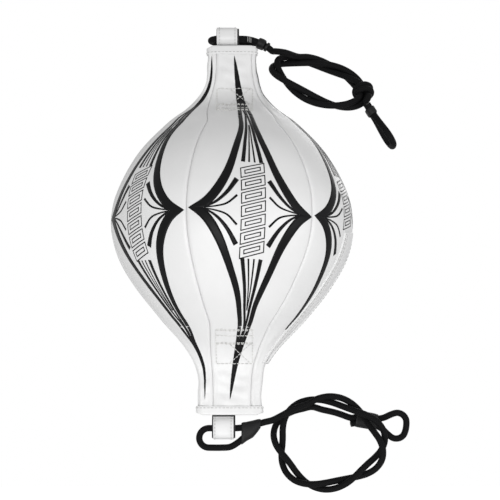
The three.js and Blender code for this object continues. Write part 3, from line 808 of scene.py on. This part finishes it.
def cover_turns(z):
    left = mix(seam_turn(1, z), seam_turn(2, z), COVER_SHARE)
    right = mix(seam_turn(2, z), seam_turn(3, z), 1 - COVER_SHARE)
    return left, right


cover = Pile()
z = np.linspace(COVER_LOW, COVER_HIGH, 60)[:, None]
left, right = cover_turns(z)
shares = np.linspace(0, 1, 44)[None, :]
turns = mix(left, right, shares)
crown = COVER_CROWN * (1 - (2 * shares - 1) ** 2) * smooth((z - COVER_LOW) / (COVER_HIGH - COVER_LOW))
edge = smooth(np.minimum(shares, 1 - shares) * 22) * 0.35 + 0.65
sheet_solid(cover, skin(turns, z + crown, COVER_THICKNESS * edge), skin(turns, z + crown, -0.5))
cover.make("closure_cover", [white_leather], "bag")

cover_thread = Pile()
z = np.linspace(COVER_LOW + 1, COVER_HIGH - 1, 160)
for which, inset in ((0, 2.4), (1, -2.4), (0, 6.4), (1, -6.4)):
    turns = cover_turns(z)[which] + inset / around(z)
    path, outward = skin_path(turns, z, COVER_THICKNESS + 0.05)
    stitches(cover_thread, path, SEAM_ROW, outward, 0.3)
cover_thread.make("cover_stitching", [grey_thread], "bag")

# The flap's ends and half width, and how high its top, underside and thread stand over the smooth body
FLAP = {"low": -120, "high": -6, "half": 8, "top": 2.0, "underside": 1.0, "thread": 2.55}


def flap_half(z):
    """Half the flap's width in turns. It narrows towards the neck."""
    return FLAP["half"] * np.minimum(1, 0.5 + through(HALF_WIDTH, z) / 80) / around(z)


flap = Pile()
z = np.linspace(FLAP["low"], FLAP["high"], 60)[:, None]
shares = np.linspace(-1, 1, 13)[None, :]
turns = seam_turn(2, z) + shares * flap_half(z)
rounded = 0.6 * (1 - shares**6)
base = plain_point(turns, z)
outward = unit(skin(turns, z, 5.0) - skin(turns, z))
sheet_solid(flap, base + outward * (FLAP["top"] + rounded)[..., None], base + outward * FLAP["underside"])
flap.make("closure_flap", [binding_leather], "bag", ["closure_strip"])

flap_thread = Pile()
z = np.linspace(FLAP["low"] + 1.5, FLAP["high"] - 1.5, 150)
for side in (-1, 1):
    turns = seam_turn(2, z) + side * flap_half(z) * 0.72
    path = plain_point(turns, z)
    outward = unit(skin(turns, z, 5.0) - skin(turns, z))
    stitches(flap_thread, path + outward * FLAP["thread"], SEAM_ROW, outward, 0.3)
flap_thread.make("flap_stitching", [grey_thread], "bag")

# ---- Box stitching that holds the strap tails ----
BOX_ROWS = {1: (99.5, 103.0, 107.5, 126.0), -1: (93.2, 98.2, 103.9, 121.5)}
BOX_LEFT, BOX_RIGHT = -13.5, 18.5
CROSS_LEFT, CROSS_RIGHT = -1.3, 16.2


def on_front(side, x, z):
    """Turn of the point at x on the front (side -1) or rear (side 1) of a neck."""
    turn = (x - middle_x(z)) / around(z)
    return turn if side < 0 else 0.5 - turn


def box_line(pile, end, side, x0, z0, x1, z1):
    t = np.linspace(0, 1, 40)
    heights = end * mix(z0, z1, t)
    turns = on_front(side, mix(x0, x1, t), heights)
    path, outward = skin_path(turns, heights, 0.2)
    stitches(pile, path, BOX_ROW, outward, 0.7)


for name, end in (("top", 1), ("bottom", -1)):
    near, second, third, far = BOX_ROWS[end]
    for label, side in (("front", -1), ("rear", 1)):
        box = Pile()
        for row in (near, near + 0.9, second, third, third + 0.9, far):
            box_line(box, end, side, BOX_LEFT, row, BOX_RIGHT, row)
        for x in (BOX_LEFT, BOX_RIGHT):
            box_line(box, end, side, x, near, x, far)
        box_line(box, end, side, CROSS_LEFT, third + 1, CROSS_RIGHT, far - 0.5)
        box_line(box, end, side, CROSS_RIGHT, third + 1, CROSS_LEFT, far - 0.5)
        replaced = [f"{name}_{label}_stitching"]
        box.make(f"{name}_{label}_box_stitching", [white_thread], "bag", replaced)

# ---- Bindings ----
BINDING_PROFILE = [  # distance out from the leather, and below the binding's end
    (0.1, 0.0), (0.7, 0.3), (1.0, 1.0), (1.1, 2.4), (0.9, 5.2), (1.1, 6.8), (0.9, 7.7), (0.5, 8.0),
    (0.2, 7.9), (0.15, 4.0), (0.15, 1.9),
]
SLOT_HALF_DEPTH = 3.4
BINDING_COLUMNS = 180
BINDING_STITCH_DROP = 6.2
CORNER, CORNER_DROP = 5.0, 2.0  # the binding's end is rounded off over this width, by this height


def slot_ring(end, z):
    angle = np.linspace(0, 2 * math.pi, BINDING_COLUMNS, endpoint=False)
    s, c = np.sin(angle), np.cos(angle)
    x = STRAP_MIDDLE[end] + np.sign(s) * np.abs(s) ** 0.3 * (STRAP_WIDTH / 2 + 0.5)
    y = -np.sign(c) * np.abs(c) ** 0.3 * SLOT_HALF_DEPTH
    return np.column_stack([x, y, np.full_like(x, z)])


def ring_outward(ring):
    """Level outward directions round a closed ring of points."""
    before, after = np.roll(ring, 2, axis=0), np.roll(ring, -2, axis=0)
    return unit(np.cross(after - before, [0, 0, 1.0]))


def neck_ring(end, out, z):
    turns = np.arange(BINDING_COLUMNS) / BINDING_COLUMNS
    base = plain_point(turns, np.full(BINDING_COLUMNS, end * NECK_END))
    outward = ring_outward(base)
    wave = 0.12 * np.sin(turns * 2 * math.pi * 9 + end) * (out > 1)
    ring = base + outward * (out + wave)[:, None]
    reach = np.abs(base[:, 0] - middle_x(end * NECK_END)) - through(HALF_WIDTH, end * NECK_END) + CORNER
    below = np.abs(end * BINDING_END - z)
    ring[:, 2] = z - end * CORNER_DROP * smooth(reach / CORNER) * max(0.0, 1 - below / 4)
    return ring


for name, end in (("top", 1), ("bottom", -1)):
    top = end * BINDING_END
    rings = [slot_ring(end, top - end * 1.3), slot_ring(end, top - end * 0.15)]
    crown = mix(slot_ring(end, top), neck_ring(end, 0.2, top), 0.5)
    crown[:, 2] = top
    rings.append(crown)
    rings += [neck_ring(end, out, top - end * down) for out, down in BINDING_PROFILE]
    band = Pile()
    band.add(np.array(rings), loft_faces(len(rings), BINDING_COLUMNS, looped=True))
    band.make(f"{name}_band", [binding_leather], "bag", [f"{name}_binding"])
    thread = Pile()
    ring = neck_ring(end, 1.0, top - end * BINDING_STITCH_DROP)
    outward = ring_outward(ring)
    stitches(thread, np.vstack([ring, ring[:1]]), BINDING_ROW, np.vstack([outward, outward[:1]]))
    thread.make(f"{name}_band_stitching", [grey_thread], "bag")

# ---- Strap loops ----
WEBBING, FACING, GAP = 1.2, 0.9, 0.3
LOOP_REACH = {1: 18, -1: 21.5}
LOOP_HALF = 4.5
FACE_INSET = {1: (0.3, 1.6), -1: (1.1, 1.5)}  # the black strap shows past its white cover


def loop_line(end):
    """The webbing's middle line round a strap loop, as (y, z), from its rear root to its front root."""
    root = 0.15 + WEBBING / 2
    top = LOOP_REACH[end] - WEBBING / 2 - GAP - FACING
    side = [(root, -0.5), (root, 1.2), (root, 2.6), (mix(root, LOOP_HALF, 0.5), 4.6), (LOOP_HALF, 7.4)]
    side.append((LOOP_HALF, top - LOOP_HALF))
    for degrees in (30, 60):
        angle = math.radians(degrees)
        side.append((LOOP_HALF * math.cos(angle), top - LOOP_HALF + LOOP_HALF * math.sin(angle)))
    mirrored = [(-y, h) for y, h in side][::-1]
    line = side + [(0, top)] + mirrored
    smooth_line = curve_through([(0, y, end * (BINDING_END + h)) for y, h in line], 0.9)
    return smooth_line[:, 1:]


def beside(line, distance):
    return line + left_normals(line) * distance


def strap_solid(pile, line, thickness, x0, x1):
    """A strap across X with soft edges, round a middle line of (y, z) points."""
    bevel = 0.25
    lower = [(x0, bevel - 0.5)]
    lower += [(x, -0.5) for x in (x0 + bevel, mix(x0, x1, 0.33), mix(x0, x1, 0.67), x1 - bevel)]
    lower += [(x1, bevel - 0.5)]
    across = lower + [(x, -t) for x, t in reversed(lower)]
    rings = []
    for (y, z), (ny, nz) in zip(line, left_normals(line)):
        rings.append([(x, y + ny * t * thickness, z + nz * t * thickness) for x, t in across])
    pile.add(np.array(rings), loft_faces(len(rings), len(across)))


for name, end in (("top", 1), ("bottom", -1)):
    line = loop_line(end)
    x0, x1 = STRAP_MIDDLE[end] - STRAP_WIDTH / 2, STRAP_MIDDLE[end] + STRAP_WIDTH / 2
    web = Pile()
    strap_solid(web, line, WEBBING, x0, x1)
    web.make(f"{name}_loop_strap", [black_webbing], f"{name}_loop", [f"{name}_loop_webbing"])
    outwards = -end * ((WEBBING + FACING) / 2 + 0.05)
    face_line = beside(line, outwards)
    high = end * (BINDING_END + 0.7)
    face_line = face_line[(face_line[:, 1] - high) * end > 0]
    facing = Pile()
    strap_solid(facing, face_line, FACING, x0 + FACE_INSET[end][0], x1 - FACE_INSET[end][1])
    replaced = [f"{name}_loop_facing"]
    facing.make(f"{name}_loop_cover", [binding_leather], f"{name}_loop", replaced)
    thread = Pile()
    outer_line = beside(line, -end * (WEBBING / 2 + 0.05 + FACING))
    outer_line = outer_line[(outer_line[:, 1] - end * (BINDING_END + 1.6)) * end > 0]
    outward = np.column_stack([np.zeros(len(outer_line)), left_normals(outer_line) * -end])
    for x in (x0 + 2.6, x1 - 3.6):
        path = np.column_stack([np.full(len(outer_line), x), outer_line])
        stitches(thread, path, LOOP_ROW, outward)
    thread.make(f"{name}_loop_stitching", [grey_thread], f"{name}_loop")

# ---- Valve ----
VALVE_TURN, VALVE_HEIGHT = 130 / 360, -45
mouth = skin(VALVE_TURN, VALVE_HEIGHT)
axis = unit(skin(VALVE_TURN, VALVE_HEIGHT, 1.0) - mouth)
tangent = unit(np.cross([0, 0, 1.0], axis))
bitangent = np.cross(axis, tangent)
VALVE_PROFILE = [  # radius, and height above the leather
    (7.4, -0.9), (7.6, 0.4), (7.1, 1.0), (6.0, 1.2), (5.2, 0.9), (4.4, 0.25), (2.4, 0.15), (1.5, 0.35),
    (1.1, 0.1), (0.9, -0.7),
]
VALVE_SIDES = 48
angle = np.linspace(0, 2 * math.pi, VALVE_SIDES, endpoint=False)
rings = [
    mouth + axis * h + tangent * (r * np.cos(angle))[:, None] + bitangent * (r * np.sin(angle))[:, None]
    for r, h in VALVE_PROFILE
]
port = Pile()
port.add(np.array(rings), loft_faces(len(rings), VALVE_SIDES))
port.make("valve_port", [latex], "bag")

# ---- Cords ----
X, Y, Z = np.eye(3)
TOP_PIVOT = np.array([36.5, 0, 162.5])
BOTTOM_PIVOT = np.array([30, 0, -172.5])
EYE_HEIGHT = {1: 174, -1: -178}


def arc(centre, radius, u, v, start, finish):
    angle = np.radians(np.linspace(start, finish, 25))[:, None]
    return np.asarray(centre, float) + radius * (np.cos(angle) * u + np.sin(angle) * v)


def top_strap_eye():
    h = EYE_HEIGHT[1]
    bend = 7
    leg_a = curve_through([(31.2, 0, 166.6), (29, 0, 168), (22.5, 0, 171.2), (14, 0, 173.6), (6, 0, h)])
    leg_b = curve_through([(6, 2 * bend, h), (14, 10.6, 173.6), (22.5, 7.2, 171.5), (27.6, 7, 169.2)])
    return np.vstack([leg_a, arc((-12.5, bend, h), bend, X, Y, 270, 90), leg_b])


def bottom_strap_eye():
    h = EYE_HEIGHT[-1]
    bend = 8.5
    leg_a = curve_through([(26.6, 0, -173.4), (18, 0, -175.8), (10, 0, -177.4), (4, 0, h)])
    start = (-20, 0, h - 2 * bend)
    rising = [(-9, 0, h - 2 * bend), (-1, 0, -194.3), (6, 0, -190.2), (12, 0, -185.2), (18, 0, -182.3)]
    leg_b = curve_through([start] + rising)
    path = np.vstack([leg_a, arc((-20, 0, h - bend), bend, X, Z, 90, 270)[:-1], leg_b])
    return resample(path, 1.2)


END_EYE_WIDTH, SEAT_RUN = 23, 6
LEG_HALF_SPACING = 3.2
END = {
    1: {"pivot": (119.5, -14, 111.5), "along": (25, 0, -40), "across": Y, "length": 46, "held": 13},
    -1: {"pivot": (104, 12, -168.3), "along": (40.5, 6, -7), "across": Z, "length": 53, "held": 26},
}
for way in END.values():
    way["pivot"] = np.array(way["pivot"], float)
    way["along"] = unit(np.array(way["along"], float))
    way["across"] = unit(way["across"] - way["along"] * np.dot(way["across"], way["along"]))


def end_eye_path(end):
    way = END[end]
    half = END_EYE_WIDTH / 2
    corner = half - SEAT_RUN / 2

    def at(u, v):
        return way["pivot"] + way["along"] * u + way["across"] * v

    def leg(side):
        points = [at(10, side * LEG_HALF_SPACING)]
        for t in (0, 0.3, 0.6, 0.85):
            u = mix(way["held"], way["length"] - corner, t)
            points.append(at(u, side * mix(LEG_HALF_SPACING, half, float(smooth(t)))))
        return points

    def bend(side):
        points = []
        for degrees in (0, 30, 60, 90):
            angle = math.radians(degrees)
            u = way["length"] - corner + corner * math.sin(angle)
            points.append(at(u, side * (SEAT_RUN / 2 + corner * math.cos(angle))))
        return points

    stub = [at(6.5, -4.2), at(2.8, -5.4)]
    points = [at(3.8, 0), at(6, 0.8)] + leg(1) + bend(1) + bend(-1)[::-1] + leg(-1)[::-1] + stub
    return curve_through(points, 1.2)


def coil_ring(centre, u, v, long, short, start, sweep, twist, offset, spread):
    """Turns of cord whose strands twist round each other, offset from one oval. Angles in degrees."""
    swept = np.linspace(0, sweep, int(round(sweep / 12)) + 1)[:, None]
    angle = np.radians(start - swept)
    radial = unit(u * np.cos(angle) * short + v * np.sin(angle) * long)
    turn = np.radians(twist * swept - 90)
    away = offset * (1 + spread * np.cos(angle) ** 2)
    ring = np.asarray(centre, float) + u * long * np.cos(angle) + v * short * np.sin(angle)
    return ring + radial * away * np.cos(turn) - np.cross(u, v) * away * np.sin(turn)


TOP_TILT, TOP_LEAN = math.radians(19.5), math.radians(38)
TOP_MIDDLE = np.array([79.0, -4.9, 133.0])
TOP_LONG, TOP_SHORT = 41.5, 25.5
TOP_U = np.array([math.cos(TOP_TILT), 0, -math.sin(TOP_TILT)])
TOP_V = np.array([math.sin(TOP_TILT), 0, math.cos(TOP_TILT)]) * math.cos(TOP_LEAN) + Y * math.sin(TOP_LEAN)


def top_coil():
    ring = coil_ring(
        TOP_MIDDLE, TOP_U, TOP_V, TOP_LONG, TOP_SHORT,
        start=128, sweep=838, twist=7 / 3, offset=3.4, spread=0,
    )
    lead = [TOP_PIVOT, (41.5, -4.6, 160.9), (48, -8.6, 158.9)]
    return curve_through(np.vstack([lead, ring, [(122.6, -12.5, 117.5)], [END[1]["pivot"]]]), 1.6)


def bottom_coil():
    tilt = math.radians(9)
    u = np.array([math.cos(tilt), -math.sin(tilt), 0])
    ring = coil_ring(
        (85.5, 6, -190.8), u, Z, 45.7, 37.2,
        start=112, sweep=722, twist=10 / 3, offset=3.7, spread=0.3,
    )
    lead = [BOTTOM_PIVOT, (36, 0.5, -171), (44, 1.5, -167), (55, 2.5, -161)]
    tail = [(80, 9.5, -161.5), (93, 11, -164.5), END[-1]["pivot"]]
    return curve_through(np.vstack([lead, ring, tail]), 1.6)


def cord_piece(name, path, side, body, replaces, domed=(False, False)):
    pile = Pile()
    tube(pile, path, side, CORD, sides=16, domed=domed)
    return pile.make(name, [plaited], body, replaces)


SLEEVE_SIDES = 28


def sleeve_piece(name, stations, side, body, replaces, wall=0.75):
    """A shrunk sleeve round one or two cords. Stations are (centre, half spacing, inner radius)."""
    side = np.asarray(side, float)
    centres = np.array([s[0] for s in stations], float)
    tangent = centres[-1] - centres[0]
    tangent = unit(tangent - side * np.dot(tangent, side))
    binormal = np.cross(tangent, side)
    place = np.linspace(0, 1, len(stations))
    fine = np.linspace(0, 1, 15)
    centre = np.column_stack([np.interp(fine, place, centres[:, c]) for c in range(3)])
    spread_at = np.interp(fine, place, [s[1] for s in stations])
    inner = np.interp(fine, place, [s[2] for s in stations])
    lip = 0.5 * wall * (np.clip(np.abs(fine - 0.5) * 2 - 0.7, 0, 1) / 0.3) ** 2
    angle = (np.arange(SLEEVE_SIDES) + 0.5) / SLEEVE_SIDES * 2 * math.pi

    def ring(i, radius):
        across = np.cos(angle) * radius + np.tanh(np.cos(angle) * 3.2) * spread_at[i]
        waist = 1 + 0.09 * min(1.0, spread_at[i] / 3) * np.cos(angle * 2 + math.pi)
        up = np.sin(angle) * radius * waist
        return centre[i] + side * across[:, None] + binormal * up[:, None]

    outer = [ring(i, inner[i] + wall - lip[i]) for i in range(len(fine))]
    hollow = [ring(i, inner[i]) for i in range(len(fine))][::-1]
    pile = Pile()
    pile.add(np.array(outer + hollow), loft_faces(2 * len(fine), SLEEVE_SIDES, looped=True))
    return pile.make(name, [shrink], body, replaces)


def bridge(name, path, side, radius):
    """A short length of cord that bends across a flexing place."""
    pile = Pile()
    tube(pile, path, side, radius, sides=16, domed=(True, True))
    piece = pile.make(name, [plaited])
    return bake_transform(piece)


cord_piece("top_eye_cord", top_strap_eye(), Z, "top_eye", ["top_strap_eye"])
cord_piece("bottom_eye_cord", bottom_strap_eye(), Y, "bottom_eye", ["bottom_strap_eye"])
TOP_WRAP = [
    ((23.4, 3.6, 171.2), 3.5, CORD + 0.25),
    ((26.8, 3.3, 169.8), 3.3, CORD + 0.3),
    ((29.7, 1.8, 168.0), 2.0, CORD + 0.3),
]
TOP_NUB = [((30.6, 0, 166.95), 0, CORD + 0.1), ((32.6, 0, 165.6), 0, CORD + 0.1)]
BOTTOM_WRAP = [
    ((8.6, 0, -182.9), 5.8, CORD + 0.25),
    ((13, 0, -180.9), 4.3, CORD + 0.2),
    ((19, 0, -178.6), 3.3, CORD + 0.25),
    ((25.6, 0, -173.8), 0.2, CORD + 0.2),
]
sleeve_piece("top_eye_wrap", TOP_WRAP, Y, "top_eye", ["top_eye_sleeve"], 1.1)
sleeve_piece("top_eye_nub", TOP_NUB, Y, "top_eye", ["top_eye_whipping"], 1.4)
sleeve_piece("bottom_eye_wrap", BOTTOM_WRAP, Z, "bottom_eye", ["bottom_eye_sleeve"], 1.1)

coils = {1: top_coil(), -1: bottom_coil()}
LEAD = 3  # rings at each end of a coil that its bridges cover
for name, end in (("top", 1), ("bottom", -1)):
    path = coils[end]
    cord, free_eye = f"{name}_cord", f"{name}_free_eye"
    cord_piece(f"{name}_coil_cord", path[LEAD:-LEAD], Y, cord, [f"{name}_coil"], domed=(True, True))
    way = END[end]
    eye = end_eye_path(end)
    flat_side = np.cross(way["across"], way["along"])
    cord_piece(f"{name}_end_eye_cord", eye, flat_side, free_eye, [f"{name}_end_eye"], domed=(True, False))
    cut = Pile()
    tip, before = eye[-1], eye[-2]
    core = [tip + (tip - before) * t for t in (-0.6, 0.15, 0.3)]
    tube(cut, core, Y, [CORD - 0.9, CORD - 0.9, CORD - 1.3], sides=24)
    cut.make(f"{name}_cut_end", [rubber_core], free_eye)
    spacings = ((6.2, 3.0), (9, 3.4), (way["held"], 3.4))
    stations = [(way["pivot"] + way["along"] * u, half, CORD + 0.2) for u, half in spacings]
    sleeve_piece(f"{name}_end_wrap", stations, way["across"], free_eye, [f"{name}_end_sleeve"], 1.0)
    tail = np.vstack([path[-LEAD - 5:], eye[:4]])
    tail = curve_through(resample(tail, 4.0), 1.0)
    bridge(f"{name}_end_bridge", tail, Y, CORD + 0.06)

# Pale thread that whips the top eye's cord, and a hitch round the coil's far end
WHIPPING = {"start": 14.2, "pitch": 1.4, "turns": 3, "lift": 0.12, "thread": 0.24}
whipping = Pile()
for i in range(WHIPPING["turns"]):
    x = WHIPPING["start"] + WHIPPING["pitch"] * i
    z = float(np.interp(x, (14, 22.5), (173.6, 171.2)))
    turn = np.radians(np.linspace(-60, 60, 7))[:, None]
    ring = np.array([x, 0, z]) + (CORD + WHIPPING["lift"]) * (-np.cos(turn) * Y + np.sin(turn) * Z)
    tube(whipping, ring, X, WHIPPING["thread"], sides=6, domed=(True, True))
whipping.make("top_eye_thread", [grey_thread], "top_eye")

HITCH = {"place": math.radians(14), "radius": 7.1, "turns": 1.5, "pitch": 5.4, "phase": 2.6}
c, s = math.cos(HITCH["place"]), math.sin(HITCH["place"])
hitch_middle = TOP_MIDDLE + TOP_U * TOP_LONG * c + TOP_V * TOP_SHORT * s
hitch_axis = unit(TOP_U * TOP_LONG * s - TOP_V * TOP_SHORT * c)
hitch_side = unit(np.cross(Y, hitch_axis))
hitch_up = np.cross(hitch_axis, hitch_side)
swept = np.linspace(0, HITCH["turns"] * 2 * math.pi, 60)[:, None]
turn = swept + HITCH["phase"]
hitch_path = (
    hitch_middle
    + hitch_axis * (swept / (2 * math.pi) - HITCH["turns"] / 2) * HITCH["pitch"]
    + HITCH["radius"] * (np.cos(turn) * hitch_side + np.sin(turn) * hitch_up)
)
hitch = Pile()
tube(hitch, hitch_path, hitch_axis, CORD, sides=16, domed=(True, True))
hitch.make("top_coil_hitch", [plaited], "top_cord")

# A strap eye's cord up to its pivot, and where its bend into the coil starts and ends, from the pivot
LEADS = {
    1: ([(31.6, 0, 166.3), (33.6, 0, 165), TOP_PIVOT], (-3.2, 0, 2.6), (3.5, -2.5, -1.5)),
    -1: ([(24.6, 0, -173.9), (26.6, 0, -173.4), BOTTOM_PIVOT], (-3.5, 0, -1), (4, 0, 1)),
}
for name, end in (("top", 1), ("bottom", -1)):
    points, before, after = LEADS[end]
    lead = curve_through(points + [tuple(p) for p in coils[end][2:9:2]], 1.0)
    bridge(f"{name}_flex_bridge", lead, Y, CORD + 0.05)

# ---- CAD pieces that stay inside the bag ----
def paint(look, slot_name, *names):
    for name in names:
        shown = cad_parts[name]
        shown.data.materials.clear()
        shown.data.materials.append(look)


paint(lining_cloth, "lining", "lining")
paint(latex, "bladder", "bladder", "bladder_valve")
for end in ("top", "bottom"):
    paint(black_webbing, "webbing", f"{end}_front_tail", f"{end}_rear_tail")


# ---- Stage, light and camera ----
def light(name, place, aim, size, power):
    data = bpy.data.lights.new(name, "AREA")
    data.shape = "DISK"
    data.size = size
    data.energy = power
    lamp = bpy.data.objects.new(name, data)
    bpy.context.scene.collection.objects.link(lamp)
    lamp.location = place
    lamp.rotation_euler = (Vector(aim) - Vector(place)).to_track_quat("-Z", "Y").to_euler()


SENSOR = 36
CAMERA_DISTANCE = 1.3
CAMERA_RISE = -7.0  # degrees; the camera looks up from a little below the bag
VIEW_WIDTH = 0.4473
AIM = Vector(put([16.2, 0, -19.8]))

camera_data = bpy.data.cameras.new("camera")
camera = bpy.data.objects.new("camera", camera_data)
bpy.context.scene.collection.objects.link(camera)
rise = math.radians(CAMERA_RISE)
back = Vector((0, -math.cos(rise), math.sin(rise)))
camera.location = AIM + back * CAMERA_DISTANCE
camera.rotation_euler = (-back).to_track_quat("-Z", "Y").to_euler()
camera_data.sensor_width = SENSOR
camera_data.lens = SENSOR * CAMERA_DISTANCE / VIEW_WIDTH
bpy.context.scene.camera = camera

SKY_LIGHT = 0.63  # what the white surroundings add to the lamps
world = bpy.data.worlds.new("studio")
world.use_nodes = True
sky = world.node_tree.nodes["Background"]
sky.inputs["Color"].default_value = (1, 1, 1, 1)
seen = node(world.node_tree, "ShaderNodeLightPath").outputs["Is Camera Ray"]
feed(world.node_tree, sky.inputs["Strength"], spread(world.node_tree, seen, SKY_LIGHT, 1.0))
bpy.context.scene.world = world
bpy.context.scene.view_settings.view_transform = "Standard"

FLOOR = -1.4
FLOOR_HALF = 30
FLOOR_GLOW = 0.5  # keeps the floor pale where the lamps fall off


def backdrop_tint(tree):
    """A pale floor that glows for the camera only."""
    seen = node(tree, "ShaderNodeLightPath").outputs["Is Camera Ray"]
    return {
        "Base Color": (0.9, 0.9, 0.9, 1),
        "Roughness": 0.9,
        "Emission Color": (1, 1, 1, 1),
        "Emission Strength": spread(tree, seen, 0, FLOOR_GLOW),
    }


floor_mesh = bpy.data.meshes.new("floor")
corners = [(x * FLOOR_HALF, y * FLOOR_HALF, FLOOR) for x, y in ((-1, -1), (1, -1), (1, 1), (-1, 1))]
floor_mesh.from_pydata(corners, [], [(0, 1, 2, 3)])
floor = bpy.data.objects.new("floor", floor_mesh)
bpy.context.scene.collection.objects.link(floor)
floor_mesh.materials.append(look_of("backdrop", backdrop_tint))

# Each lamp's place and aim, in metres, then its width and power
LAMPS = {
    "key": ((-0.3, -1.5, -0.7), (0, 0, -0.05), 1.0, 14),
    "fill": ((1.3, -1.0, -0.2), (0, 0, -0.05), 0.9, 5.5),
    "rear": ((0.5, 1.5, 0.9), (0, 0, 0), 1.2, 7),
}
for name, (place, aim, size, power) in LAMPS.items():
    light(name, place, aim, size, power)
